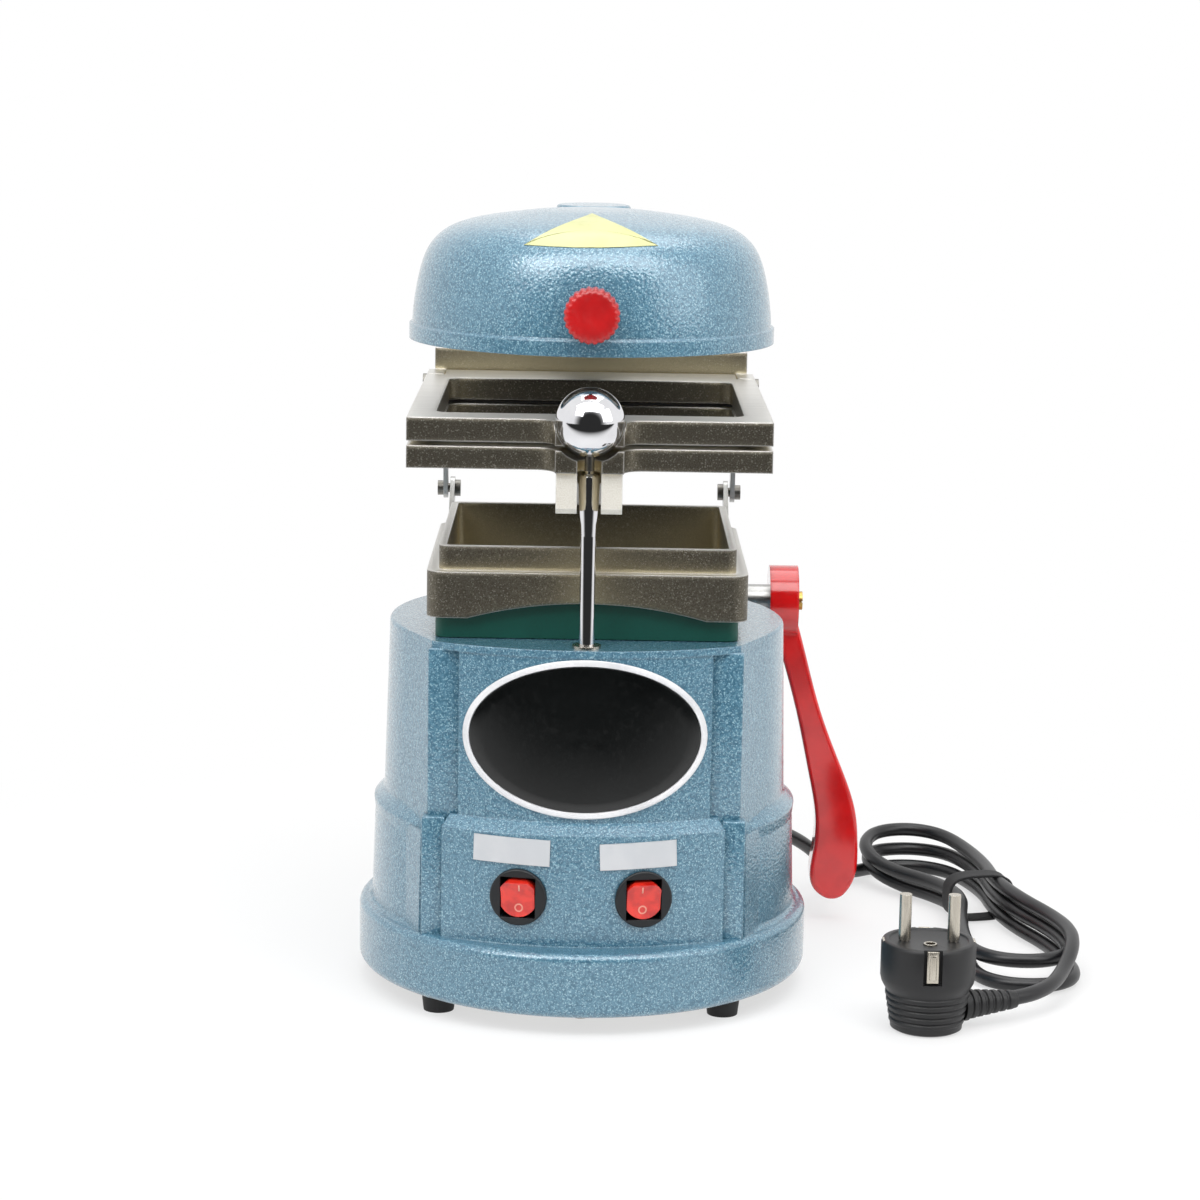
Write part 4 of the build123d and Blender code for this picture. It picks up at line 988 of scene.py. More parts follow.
    def close_up(self) -> None:
        """Merges doubles and turns all faces outwards."""
        self.edit()
        bpy.ops.mesh.select_all(action="SELECT")
        bpy.ops.mesh.remove_doubles(threshold=SAME_POINT)
        bpy.ops.mesh.normals_make_consistent(inside=False)
        self.clear()

    def modifier(self, kind: str, **settings: Any) -> None:
        """Adds a modifier and applies it at once.

        Args:
            kind: the modifier's type.
            settings: its settings by name.
        """
        self.clear()
        self.piece.select_set(True)
        bpy.context.view_layer.objects.active = self.piece
        added = self.piece.modifiers.new(kind.title(), kind)
        for entry, value in settings.items():
            setattr(added, entry, value)
        bpy.ops.object.modifier_apply(modifier=added.name)

    def rounded(self, width: float, segments: int = 2, angle: float = 30.0) -> None:
        """Bevels every edge sharper than an angle in degrees, by a width in millimetres.

        Args:
            width: the bevel's width.
            segments: how many steps it has.
            angle: the smallest angle that it takes.
        """
        self.modifier(
            "BEVEL",
            width=width * MM,
            segments=segments,
            limit_method="ANGLE",
            angle_limit=math.radians(angle),
        )

    def cut(self, tool: "Bench") -> None:
        """Cuts another piece's shape out of this one, and throws that piece away.

        Args:
            tool: the piece to cut with.
        """
        self.modifier("BOOLEAN", operation="DIFFERENCE", object=tool.piece, solver="EXACT")
        bpy.data.objects.remove(tool.piece)
        self.close_up()

    def keep(self, tool: "Bench") -> None:
        """Keeps only what lies inside another piece, and throws that piece away.

        Args:
            tool: the piece to keep within.
        """
        self.modifier("BOOLEAN", operation="INTERSECT", object=tool.piece, solver="EXACT")
        bpy.data.objects.remove(tool.piece)
        self.close_up()

    def shape(self, move: Callable[[Vector], Vector]) -> None:
        """Moves every point of the piece by a rule, in metres.

        Args:
            move: gives a point's new place from its old one.
        """
        self.clear()
        for point in self.piece.data.vertices:
            point.co = move(point.co)
        self.piece.data.update()

    def hand_over(
        self, body: str, slot: Slot, finish: Finish, stands_for: Iterable[str] = ()
    ) -> bpy.types.Object:
        """Smooths the piece, gives it its finish and mounts it on the frame.

        Args:
            body: the CAD body that it rides on.
            slot: the record's material slot; not used.
            finish: its finish.
            stands_for: CAD nodes that it replaces.

        Returns:
            The mounted object.
        """
        self.settle()
        bpy.ops.object.shade_smooth_by_angle(angle=math.radians(SHARP_FROM))
        self.clear()
        return mount(self.piece, body, finish, stands_for)


def mount(
    piece: bpy.types.Object, body: str, finish: Finish, stands_for: Iterable[str] = ()
) -> bpy.types.Object:
    """Gives a piece its finish and body, and hides the CAD nodes that it replaces.

    Args:
        piece: the mesh or curve object.
        body: the CAD body that it rides on.
        finish: its finish.
        stands_for: CAD nodes that it replaces.

    Returns:
        The same object.
    """
    piece.data.materials.clear()
    piece.data.materials.append(finish.material())
    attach(piece, body)
    nodes = list(stands_for)
    if nodes:
        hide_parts(*nodes)
    LOG.info("made %s on %s", piece.name, body)
    return piece


def dress(finish: Finish, *nodes: str) -> None:
    """Gives CAD nodes a finish in place of the plain one that they came with.

    Args:
        finish: the finish.
        nodes: the nodes' names.
    """
    for name in nodes:
        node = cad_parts[name]
        for place in node.material_slots:
            place.material = finish.material()
        if not node.material_slots:
            node.data.materials.append(finish.material())
        LOG.info("dressed %s in %s", name, finish.name)


def touch(node: str, start: Vector, along: Vector) -> tuple[Vector, Vector]:
    """Where a line first meets a CAD node, and the surface's normal there.

    Args:
        node: the node's name.
        start: the line's start, in metres.
        along: its direction.

    Returns:
        The point and the normal.
    """
    hit, point, normal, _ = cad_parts[node].ray_cast(start, along)
    if not hit:
        raise ValueError(f"no surface of {node} under {tuple(start)}")
    return point.copy(), normal.copy()


# --------------------------------------------------------------------------- the studio


@dataclass(frozen=True)
class Softbox:
    """A rectangular soft light: its place, width and depth in metres, and its watts."""

    name: str
    at: Triple
    size: Pair
    power: float


@dataclass
class Studio:
    """Camera, lamps, surroundings and floor, in metres."""

    stand: Triple = (0.0, -1.2703, 0.3857)
    lens_mm: float = 96.0
    sensor_mm: float = 36.0
    nearest: float = 0.05
    frame_px: float = 1200.0
    horizon_px: float = 581.0
    aside: float = math.radians(0.232)
    roll: float = math.radians(0.99)
    softboxes: tuple[Softbox, ...] = (
        Softbox("key", (-0.95, -1.15, 1.35), (0.9, 0.9), 5.5),
        Softbox("fill", (1.25, -0.75, 0.85), (1.0, 1.0), 4.0),
        Softbox("top", (0.1, 0.35, 1.6), (1.2, 1.2), 9.0),
        Softbox("bank", (0.0, -0.72, 1.3), (2.0, 0.75), 16.5),
    )
    aim: Triple = (0.0, 0.0, 0.15)
    ambient: float = 0.52
    dim_zone: Pair = (0.5, 0.85)
    dim_level: float = 0.03
    floor_size: float = 12.0
    paper: Rgba = (0.86, 0.86, 0.86, 1)
    paper_rough: float = 0.9
    shadow_zone: Pair = (0.16, 0.42)
    shadow_glow: float = 0.62
    dark_table: Pair = (-0.62, -0.24)

    def build(self) -> None:
        """Sets up the whole studio."""
        for spare in ("Cube", "Light", "Camera"):
            if spare in bpy.data.objects:
                bpy.data.objects.remove(bpy.data.objects[spare])
        bpy.context.scene.view_settings.view_transform = "Standard"
        self.camera()
        self.surroundings()
        self.floor()
        for softbox in self.softboxes:
            self.lamp(softbox)

    def camera(self) -> None:
        """A long lens in front of the machine, a little above it and slightly rolled."""
        down = math.atan(self.horizon_px / (self.frame_px * self.lens_mm / self.sensor_mm))
        level = Vector((math.sin(self.aside), math.cos(self.aside), 0)) * math.cos(down)
        ahead = level - UP * math.sin(down)
        across = Vector((math.cos(self.aside), -math.sin(self.aside), 0))
        over = across.cross(ahead)
        right = math.cos(self.roll) * across + math.sin(self.roll) * over
        top = -math.sin(self.roll) * across + math.cos(self.roll) * over
        data = bpy.data.cameras.new("camera")
        data.lens = self.lens_mm
        data.sensor_width = self.sensor_mm
        data.clip_start = self.nearest
        camera = bpy.data.objects.new("camera", data)
        bpy.context.scene.collection.objects.link(camera)
        turn = Matrix((right, top, -ahead)).transposed().to_4x4()
        camera.matrix_world = Matrix.Translation(Vector(self.stand)) @ turn
        bpy.context.scene.camera = camera

    def lamp(self, softbox: Softbox) -> None:
        """Hangs one soft light, aimed at the machine's middle.

        Args:
            softbox: what to hang, and where.
        """
        data = bpy.data.lights.new(softbox.name, "AREA")
        data.shape = "RECTANGLE"
        data.size, data.size_y = softbox.size
        data.energy = softbox.power
        lamp = bpy.data.objects.new(softbox.name, data)
        bpy.context.scene.collection.objects.link(lamp)
        place = Vector(softbox.at)
        turn = (Vector(self.aim) - place).to_track_quat("-Z", "Y")
        lamp.matrix_world = Matrix.Translation(place) @ turn.to_matrix().to_4x4()

    def surroundings(self) -> None:
        """White to the eye; soft light for the machine; a dim zone in front for reflections."""
        world = bpy.data.worlds.new("surroundings")
        bpy.context.scene.world = world
        world.use_nodes = True
        tree = world.node_tree
        tree.nodes.clear()
        output = tree.nodes.new("ShaderNodeOutputWorld")
        rays = tree.nodes.new("ShaderNodeLightPath")
        where = tree.nodes.new("ShaderNodeTexCoord")
        toward = tree.nodes.new("ShaderNodeVectorMath")
        toward.operation = "DOT_PRODUCT"
        toward.inputs[1].default_value = FRONT
        tree.links.new(where.outputs["Generated"], toward.inputs[0])
        dim = tree.nodes.new("ShaderNodeMapRange")
        dim.interpolation_type = "SMOOTHSTEP"
        dim.inputs["From Min"].default_value = self.dim_zone[0]
        dim.inputs["From Max"].default_value = self.dim_zone[1]
        dim.inputs["To Min"].default_value = 1.0
        dim.inputs["To Max"].default_value = self.dim_level
        tree.links.new(toward.outputs["Value"], dim.inputs["Value"])
        shown, mirrored, soft = (tree.nodes.new("ShaderNodeBackground") for _ in range(3))
        for background in (shown, mirrored, soft):
            background.inputs["Color"].default_value = WHITE
        soft.inputs["Strength"].default_value = self.ambient
        tree.links.new(dim.outputs[0], mirrored.inputs["Strength"])
        for_glossy = tree.nodes.new("ShaderNodeMixShader")
        tree.links.new(rays.outputs["Is Glossy Ray"], for_glossy.inputs[0])
        tree.links.new(soft.outputs[0], for_glossy.inputs[1])
        tree.links.new(mirrored.outputs[0], for_glossy.inputs[2])
        seen = tree.nodes.new("ShaderNodeMath")
        seen.operation = "MAXIMUM"
        tree.links.new(rays.outputs["Is Camera Ray"], seen.inputs[0])
        tree.links.new(rays.outputs["Is Transmission Ray"], seen.inputs[1])
        final = tree.nodes.new("ShaderNodeMixShader")
        tree.links.new(seen.outputs[0], final.inputs[0])
        tree.links.new(for_glossy.outputs[0], final.inputs[1])
        tree.links.new(shown.outputs[0], final.inputs[2])
        tree.links.new(final.outputs[0], output.inputs[0])

    def floor(self) -> None:
        """A pale sheet that is white to the eye away from the machine and keeps its shadow."""
        Bench.clear()
        bpy.ops.mesh.primitive_plane_add(size=self.floor_size, location=(0, 0, 0))
        sheet = bpy.context.object
        sheet.name = "floor"
        graph = Graph("floor_paper")
        graph.surface(Base_Color=self.paper, Roughness=self.paper_rough)
        tree = graph.tree
        rays = tree.nodes.new("ShaderNodeLightPath")
        glossy = rays.outputs["Is Glossy Ray"]
        far = tree.nodes.new("ShaderNodeVectorMath")
        far.operation = "LENGTH"
        tree.links.new(graph.place, far.inputs[0])
        spread = graph.between(far.outputs["Value"], *self.shadow_zone)
        away = graph.scaled(spread, self.shadow_glow, 1.0)
        eye = graph.sum("ADD", rays.outputs["Is Camera Ray"], rays.outputs["Is Transmission Ray"])
        eye = graph.sum("ADD", eye, glossy)
        table = graph.between(graph.part(graph.place, 1), *self.dark_table)
        strength = tree.nodes.new("ShaderNodeMix")
        graph.feed(strength, 0, glossy)
        graph.feed(strength, 2, 1.0)
        graph.feed(strength, 3, graph.scaled(table, self.dim_level, 1.0))
        glow = tree.nodes.new("ShaderNodeEmission")
        graph.feed(glow, "Color", WHITE)
        graph.feed(glow, "Strength", strength.outputs[0])
        blend = tree.nodes.new("ShaderNodeMixShader")
        graph.feed(blend, 0, graph.sum("MULTIPLY", eye, away))
        graph.feed(blend, 1, graph.shader.outputs[0])
        graph.feed(blend, 2, glow.outputs[0])
        graph.feed(graph.output, 0, blend.outputs[0])
        sheet.data.materials.append(graph.material)
        Bench.clear()


# --------------------------------------------------------------------------- the mains lead


@dataclass
class MainsLead:
    """The flex with its hank, tie and earthed plug, and the sleeves at its two ends.
    """

    diameter: float = 0.006
    length: float = 1.284
    exit: Triple = (0.0628, 0.0674, 0.0425)
    leaving: Triple = (0.682, 0.7314, 0.0)
    curve_steps: int = 8
    section_steps: int = 5
    sleeve_sides: int = 48
    ribs: int = 6
    rib_base: float = 2.0
    rib_shape: tuple[Pair, ...] = ((-0.55, 0.15), (-0.55, 0.35), (0.0, 0.5), (-0.05, 0.95))
    tip_height: float = 1.6
    tip_round: float = 0.3
    relief_size: Triple = (5.2, 3.7, 22.0)
    sleeve_size: Triple = (6.4, 3.7, 24.0)
    sleeve_foot: Triple = (148.5, -67.9, 9.0)
    sleeve_tip: Triple = (173.0, -58.5, 9.0)
    tie_at: Triple = (173.0, 84.0, 11.2)
    tie_lie: tuple[Triple, Triple] = ((0.97, 0.24, 0.0), (-0.24, 0.97, 0.0))
    tie_half: Pair = (15.0, 10.3)
    tie_round: float = 0.62
    tie_back: float = 4.6
    tie_steps: tuple[Pair, ...] = ((2.0, 0.985), (2.6, 1.0), (2.6, 1.0), (2.0, 1.015))
    tie_sides: int = 72
    tie_thick: float = 1.1
    tie_soft: float = 0.25
    plug: Pair = (135.0, -70.0)
    grip_foot: tuple[Pair, ...] = ((0.0, 0.3), (12.6, 0.3), (14.0, 1.1))
    grip_ribs: int = 5
    grip_low: Pair = (14.2, 3.2)
    grip_step: Pair = (0.42, 2.6)
    grip_rib: tuple[Pair, ...] = ((0.0, 0.0), (0.5, 0.5), (0.5, 1.6), (0.0, 2.1))
    plug_head: tuple[Pair, ...] = (
        (16.9, 17.4), (18.0, 19.4), (18.5, 21.6), (18.5, 34.6), (17.9, 35.7),
        (17.0, 36.0), (15.6, 36.0), (15.2, 35.4), (0.0, 35.4),
    )
    plug_sides: int = 96
    plug_soft: float = 0.22
    slot_size: Triple = (7.2, 4.4, 16.0)
    slot_out: float = 18.0
    slot_z: float = 30.4
    spring_size: Triple = (4.6, 1.0, 12.5)
    spring_out: float = 17.3
    spring_z: float = 29.6
    spring_edge: float = 0.9
    spring_bow: float = 0.55
    spring_taper: Triple = (0.8, 1.0, 0.86)
    spring_soft: float = 0.2
    socket_y: float = 5.6
    socket_z: float = 34.0
    socket_radius: float = 2.7
    socket_depth: float = 12.0
    socket_sides: int = 32
    lining: tuple[Pair, ...] = (
        (2.6, 29.0), (2.6, 35.9), (1.9, 35.9), (1.9, 29.4), (0.0, 29.4), (0.0, 29.0), (2.6, 29.0),
    )
    route: Sequence[Triple] = (
        (0.0518, 0.0556, 0.0425), (0.0764, 0.08193, 0.0425), (0.096, 0.104, 0.030),
        (0.109, 0.1235, 0.0145), (0.1205, 0.1405, 0.0052), (0.134, 0.158, 0.0035),
        (0.1515, 0.1625, 0.0035), (0.1665, 0.154, 0.0035), (0.174, 0.138, 0.0035),
        (0.1795, 0.112, 0.0042), (0.1802, 0.086, 0.0049), (0.186, 0.060, 0.0044),
        (0.197, 0.036, 0.0035), (0.2023, 0.010, 0.0035), (0.2023, -0.0112, 0.0035),
        (0.1905, -0.023, 0.0035), (0.1733, -0.023, 0.0035), (0.1615, -0.0112, 0.0035),
        (0.1605, 0.014, 0.0035), (0.162, 0.048, 0.0037), (0.166, 0.082, 0.0049),
        (0.158, 0.106, 0.0042), (0.1425, 0.1265, 0.0039), (0.1325, 0.1365, 0.0073),
        (0.1293, 0.1502, 0.011), (0.1359, 0.1633, 0.0104), (0.1518, 0.1692, 0.0099),
        (0.167, 0.1618, 0.0099), (0.1755, 0.141, 0.010), (0.1796, 0.114, 0.0106),
        (0.1802, 0.086, 0.0113), (0.187, 0.060, 0.0109), (0.1975, 0.038, 0.0099),
        (0.2017, 0.020, 0.0099), (0.2017, 0.0017, 0.0099), (0.1899, -0.010, 0.0099),
        (0.173, -0.010, 0.0099), (0.1613, 0.0017, 0.0099), (0.160, 0.024, 0.0099),
        (0.1615, 0.052, 0.0102), (0.166, 0.082, 0.0113), (0.156, 0.106, 0.0109),
        (0.1385, 0.125, 0.011), (0.1296, 0.137, 0.0146), (0.1284, 0.1502, 0.0174),
        (0.1352, 0.164, 0.019), (0.1507, 0.1696, 0.0192), (0.1658, 0.163, 0.0182),
        (0.1748, 0.141, 0.0168), (0.1795, 0.112, 0.0171), (0.1802, 0.086, 0.0177),
        (0.188, 0.058, 0.0173), (0.199, 0.034, 0.0163), (0.203, 0.010, 0.0169),
        (0.2008, -0.009, 0.0152), (0.1945, -0.026, 0.0106), (0.187, -0.044, 0.0096),
        (0.173, -0.0585, 0.009), (0.152, -0.0666, 0.009),
    )

    def build(self) -> None:
        flex = self.flex()
        parts = [self.relief(), self.sleeve(), self.tie(), self.plug_body(), *self.clips()]
        dress(Wear.BEZEL, "cord_gland")
        dress(Wear.PINS, "plug_pins")

    def flex(self) -> bpy.types.Object:
        """The flex itself, one smooth line with a round section.

        Returns:
            The mounted flex.
        """
        line = bpy.data.curves.new("mains_flex", "CURVE")
        line.dimensions = "3D"
        line.resolution_u = self.curve_steps
        line.bevel_depth = self.diameter / 2
        line.bevel_resolution = self.section_steps
        line.use_fill_caps = True
        spline = line.splines.new("NURBS")
        spline.points.add(len(self.route) - 1)
        for point, place in zip(spline.points, self.route):
            point.co = (*place, 1.0)
        spline.order_u = 3
        spline.use_endpoint_u = True
        flex = bpy.data.objects.new("mains_flex", line)
        bpy.context.scene.collection.objects.link(flex)
        return mount(flex, "base", Wear.CORD, ("power_cord", "cord_hank", "cord_tail"))

    def ribbed(self, size: Triple) -> list[Pair]:
        """A tapering sleeve's profile with grooves round it.

        Args:
            size: radius at the foot, radius at the tip and length.

        Returns:
            Points of radius and height, closed on the axis at both ends.
        """
        wide, narrow, length = size
        profile = [(0.0, 0.0), (wide, 0.0), (wide, self.rib_base)]
        pitch = (length - 2 * self.rib_base) / self.ribs
        for rib in range(self.ribs):
            start = self.rib_base + rib * pitch
            radius = wide + (narrow - wide) * (start + pitch) / length
            profile += [(radius + out, start + share * pitch) for out, share in self.rib_shape]
        profile += [(narrow, length - self.tip_height), (narrow - self.tip_round, length)]
        return profile + [(0.0, length)]

    def relief(self) -> bpy.types.Object:
        """The tapered sleeve that stiffens the flex where it leaves the housing.

        Returns:
            The mounted piece.
        """
        profile = self.ribbed(self.relief_size)
        foot, out = Vector(self.exit), Vector(self.leaving)
        bench = Bench.turned("flex_sleeve", profile, foot, out, self.sleeve_sides)
        return bench.hand_over("base", Slot.CORD, Wear.CORD)

    def sleeve(self) -> bpy.types.Object:
        """The tapered sleeve that leads the flex into the plug.

        Returns:
            The mounted piece.
        """
        profile = self.ribbed(self.sleeve_size)
        foot, tip = mm(*self.sleeve_foot), mm(*self.sleeve_tip)
        bench = Bench.turned("plug_sleeve", profile, foot, tip - foot, self.sleeve_sides)
        return bench.hand_over("base", Slot.CORD, Wear.PLUG)

    def tie(self) -> bpy.types.Object:
        """The strip that holds the hank, a flattened loop wrapped round the strands.

        Returns:
            The mounted piece.
        """
        across, along = (Vector(way).normalized() for way in self.tie_lie)
        middle = mm(*self.tie_at)
        wide, high = self.tie_half
        bench = Bench.hoop("hank_tie", mm(0, 0, 0), UP, self.tie_sides)

        def wrap(point: Vector) -> Vector:
            """Lays the unit hoop out as a loop with full round ends.

            Args:
                point: a point of the hoop.

            Returns:
                Where it lies on the strip's near edge.
            """
            angle = math.atan2(point.y, point.x)
            aside = math.copysign(abs(math.cos(angle)) ** self.tie_round, math.cos(angle))
            above = math.copysign(abs(math.sin(angle)) ** self.tie_round, math.sin(angle))
            loop = across * (aside * wide) + UP * (above * high) - along * self.tie_back
            return middle + loop * MM

        bench.shape(wrap)
        bench.edit()
        bpy.ops.mesh.select_all(action="SELECT")
        for step, squeeze in self.tie_steps:
            bench.extrude(along * step * MM)
            bench.resize((squeeze,) * 3, middle)
        bench.close_up()
        bench.modifier("SOLIDIFY", thickness=self.tie_thick * MM, offset=-1.0)
        bench.rounded(self.tie_soft)
        return bench.hand_over("base", Slot.CORD, Wear.TIE, ("cord_tie",))

    def plug_body(self) -> bpy.types.Object:
        """The moulded plug: a ribbed grip below a round head with an earth socket.

        Returns:
            The mounted piece.
        """
        x, y = self.plug
        profile = list(self.grip_foot)
        for rib in range(self.grip_ribs):
            radius, low = (
                start + step * rib for start, step in zip(self.grip_low, self.grip_step)
            )
            profile += [(radius + out, low + up) for out, up in self.grip_rib]
        profile += self.plug_head
        bench = Bench.turned("plug_moulding", profile, mm(x, y, 0), UP, self.plug_sides)
        for side in (-1, 1):
            middle = mm(x, y + side * self.slot_out, self.slot_z)
            bench.cut(Bench.block("slot", self.slot_size, middle))
        middle = mm(x, y - self.socket_y, self.socket_z)
        socket = Bench.tube(
            "socket", self.socket_radius, self.socket_depth, middle, UP, self.socket_sides
        )
        bench.cut(socket)
        bench.rounded(self.plug_soft, 2, STEEP)
        return bench.hand_over("base", Slot.CORD, Wear.PLUG, ("plug_body",))

    def clips(self) -> list[bpy.types.Object]:
        """Two earth springs in the plug's sides and the lining of its earth socket.

        Returns:
            The mounted springs and lining.
        """
        x, y = self.plug
        made = []
        for name, side in (("earth_spring_front", -1), ("earth_spring_back", 1)):
            middle = mm(x, y + side * self.spring_out, self.spring_z)
            bench = Bench.block(name, self.spring_size, middle)
            bench.pick(Pick.FACES, lambda _, normal: normal.y * side > OUTWARD)
            bench.inset(self.spring_edge)
            bench.extrude(mm(0, side * self.spring_bow, 0))
            bench.resize(self.spring_taper, middle)
            bench.rounded(self.spring_soft)
            made.append(bench.hand_over("base", Slot.STEEL, Wear.PINS))
        foot = mm(x, y - self.socket_y, 0)
        ring = Bench.turned("earth_socket", self.lining, foot, UP, self.socket_sides)
        made.append(ring.hand_over("base", Slot.STEEL, Wear.PINS))
        return made


# --------------------------------------------------------------------------- the painted base


@dataclass
class PaintedBase:
    """The cast base with its badge and labels, its feet and what shuts it from below.

    A loop of the badge is its share of the half width, its share of the half height and
    its height off the panel in millimetres.
    """

    panel_centre_y: float = 40.0
    panel_radius: float = 114.0
    badge_z: float = 113.9
    badge_half: Pair = (47.3, 31.2)
    rim_loops: tuple[Triple, ...] = (
        (1.0, 1.0, 0.05), (1.0, 1.0, 0.75), (0.992, 0.988, 1.05),
        (0.962, 0.944, 1.12), (0.95, 0.925, 0.95), (0.944, 0.915, 0.05),
    )
    face_loops: tuple[Triple, ...] = (
        (0.943, 0.914, 0.05), (0.943, 0.914, 0.72), (0.93, 0.90, 0.84),
    )
    dome_loops: int = 9
    dome_step: float = 0.012
    badge_sides: int = 160
    web_soft: float = 0.6
    web_boxes: dict[str, tuple[Pair, ...]] = field(
        default_factory=lambda: {
            "low": ((54.0, 63.0), (-63.8, -50.0), (32.4, 80.0)),
            "high": ((48.2, 61.0), (-60.4, -50.0), (76.0, 146.0)),
        }
    )

    def build(self) -> None:
        """Makes the badge and dresses the base's own parts."""
        for side in (-1, 1):
            self.webs(side)
        face = list(self.face_loops)
        wide, tall, height = face[-1]
        for step in range(1, self.dome_loops):
            left = 1 - step / self.dome_loops
            face.append((wide * left, tall * left, height + self.dome_step * step))
        for name, loops, ring, finish in (
            ("badge_rim", self.rim_loops, True, Wear.RIM),
            ("badge_face", face, False, Wear.FACE),
        ):
            oval = self.oval(name, loops, ring)
            oval.hand_over("base", Slot.BADGE, finish, ("badge_plate",))
        dress(Wear.BLUE, "base_housing")
        dress(Wear.LABEL, "label_left", "label_right")
        dress(Wear.FOOT, "rubber_feet")
        dress(Wear.PRESSED, "bottom_plate")
        dress(Wear.SCREW, "plate_screws")

    def webs(self, side: int) -> None:
        """The cast webs that fill the slots between the front panels and the ridge beside them.

        Args:
            side: -1 for the left webs or 1 for the right ones.
        """
        for level, ((near, far), (front, back), (low, high)) in self.web_boxes.items():
            centre = mm(side * (near + far) / 2, (front + back) / 2, (low + high) / 2)
            name = f"{level}_web_{'left' if side < 0 else 'right'}"
            bench = Bench.block(name, (far - near, back - front, high - low), centre)
            bench.rounded(self.web_soft, 3)
            bench.hand_over("base", Slot.BLUE, Wear.BLUE)

    def oval(self, name: str, loops: Sequence[Triple], ring: bool) -> Bench:
        """Builds an oval from loop to loop and wraps it round the panel.

        Args:
            name: the piece's name.
            loops: the loops, from the outline inwards.
            ring: whether the last loop joins the first; if not, the last is closed at its middle.

        Returns:
            The wrapped oval.
        """
        centre = mm(0, 0, self.badge_z)
        wide, tall = self.badge_half
        bench = Bench.hoop(name, centre, FRONT, self.badge_sides)
        first = loops[0]
        bench.resize((wide * first[0], 1.0, tall * first[1]), centre)
        bpy.ops.transform.translate(value=mm(0, -first[2], 0))
        path = list(loops) + ([first] if ring else [])
        for before, after in zip(path, path[1:]):
            bench.extrude(mm(0, before[2] - after[2], 0))
            bench.resize((after[0] / before[0], 1.0, after[1] / before[1]), centre)
        if not ring:
            bench.extrude(mm(0, 0, 0))
            bpy.ops.mesh.merge(type="CENTER")
            back = -first[2] * MM
            bench.pick(Pick.EDGES, lambda middle, _: abs(middle.y - back) < NO_GAP)
            bpy.ops.mesh.edge_face_add()
        bench.close_up()
        bench.shape(self.wrapped)
        return bench

    def wrapped(self, point: Vector) -> Vector:
        """A point of the flat oval, laid round the curved panel.

        Args:
            point: a point of the flat oval.

        Returns:
            Where it lies on the panel.
        """
        reach = self.panel_radius * MM - point.y
        y = self.panel_centre_y * MM - math.sqrt(reach * reach - point.x * point.x)
        return Vector((point.x, y, point.z))


# --------------------------------------------------------------------------- switches


@dataclass
class SwitchPair:
    """Two rocker switches and the generic on and off marks moulded in their rockers."""

    centres: tuple[tuple[str, float], ...] = (("left", -24.6), ("right", 23.4))
    centre_z: float = 52.3
    panel_centre_y: float = 40.0
    panel_radius: float = 119.5
    rocker_radius: float = 7.7
    blank_depth: float = 40.0
    soft: float = 0.45
    before: float = -150.0
    bar_lift: float = 4.3
    bar_size: Triple = (0.62, 0.16, 2.9)
    bar_soft: float = 0.05
    ring_lift: float = -3.9
    ring: tuple[Pair, ...] = (
        (1.15, 0.02), (1.15, 0.1), (1.7, 0.1), (1.7, -0.05), (1.15, -0.05), (1.15, 0.02),
    )
    ring_sides: int = 40

    def build(self) -> None:
        """Dresses the switches, rounds the rockers and adds a bar and a ring to each."""
        dress(Wear.BEZEL, "switch_body_left", "switch_body_right")
        for side, x in self.centres:
            self.marks(side)
            self.rocker(side, x)

    def rocker(self, side: str, x: float) -> None:
        """A rocker like the CAD one, with its outline rounded off and its edges softened.

        Args:
            side: left or right.
            x: the rocker's middle, in millimetres from the machine's.
        """
        node = f"rocker_{side}"
        deep = math.sqrt(self.panel_radius**2 - x * x)
        out = Vector((x, -deep, 0)).normalized()
        bench = Bench.copied(f"{node}_cap", node)
        middle = mm(x, self.panel_centre_y - deep, self.centre_z)
        bench.keep(Bench.tube("blank", self.rocker_radius, self.blank_depth, middle, out))
        bench.rounded(self.soft, 3, STEEP)
        bench.hand_over(node, Slot.ROCKER, Wear.ROCKER, (node,))

    def marks(self, side: str) -> None:
        """The bar on the upper half of one rocker and the ring on its lower half.

        Args:
            side: left or right.
        """
        node = f"rocker_{side}"
        low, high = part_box(node)
        middle = (low + high) / 2
        start = Vector((middle.x, self.before * MM, middle.z))
        point, normal = touch(node, start + mm(0, 0, self.bar_lift), BACK)
        turn = FRONT.rotation_difference(normal).to_matrix()
        bench = Bench.block(f"{node}_bar", self.bar_size, point, turn)
        bench.rounded(self.bar_soft)
        bench.hand_over(node, Slot.ROCKER, Wear.MARK)
        point, normal = touch(node, start + mm(0, 0, self.ring_lift), BACK)
        bench = Bench.turned(f"{node}_ring", self.ring, point, normal, self.ring_sides)
        bench.hand_over(node, Slot.ROCKER, Wear.MARK)


# --------------------------------------------------------------------------- forming parts


@dataclass
class FormingGear:
    """The vacuum chamber, the two sheet frames and the clamp between them."""

    def build(self) -> None:
        """Dresses the castings, the gasket, the plate and the clamp."""
        dress(Wear.CASTING, "forming_chamber", "lower_frame", "upper_frame")
        dress(Wear.FORK, "clamp_fork")
        dress(Wear.GASKET, "chamber_gasket")
        dress(Wear.PRESSED, "perforated_plate")
        dress(Wear.SCREW, "chamber_screws", "fork_screws", "hinge_screws", "clamp_stud")
        dress(Wear.SEAL, "sheet_seal")
        dress(Wear.CHROME, "clamp_ball", "guide_rod")
        dress(Wear.PINS, "rod_bush")
        dress(Wear.BRASS, "carriage_bush")


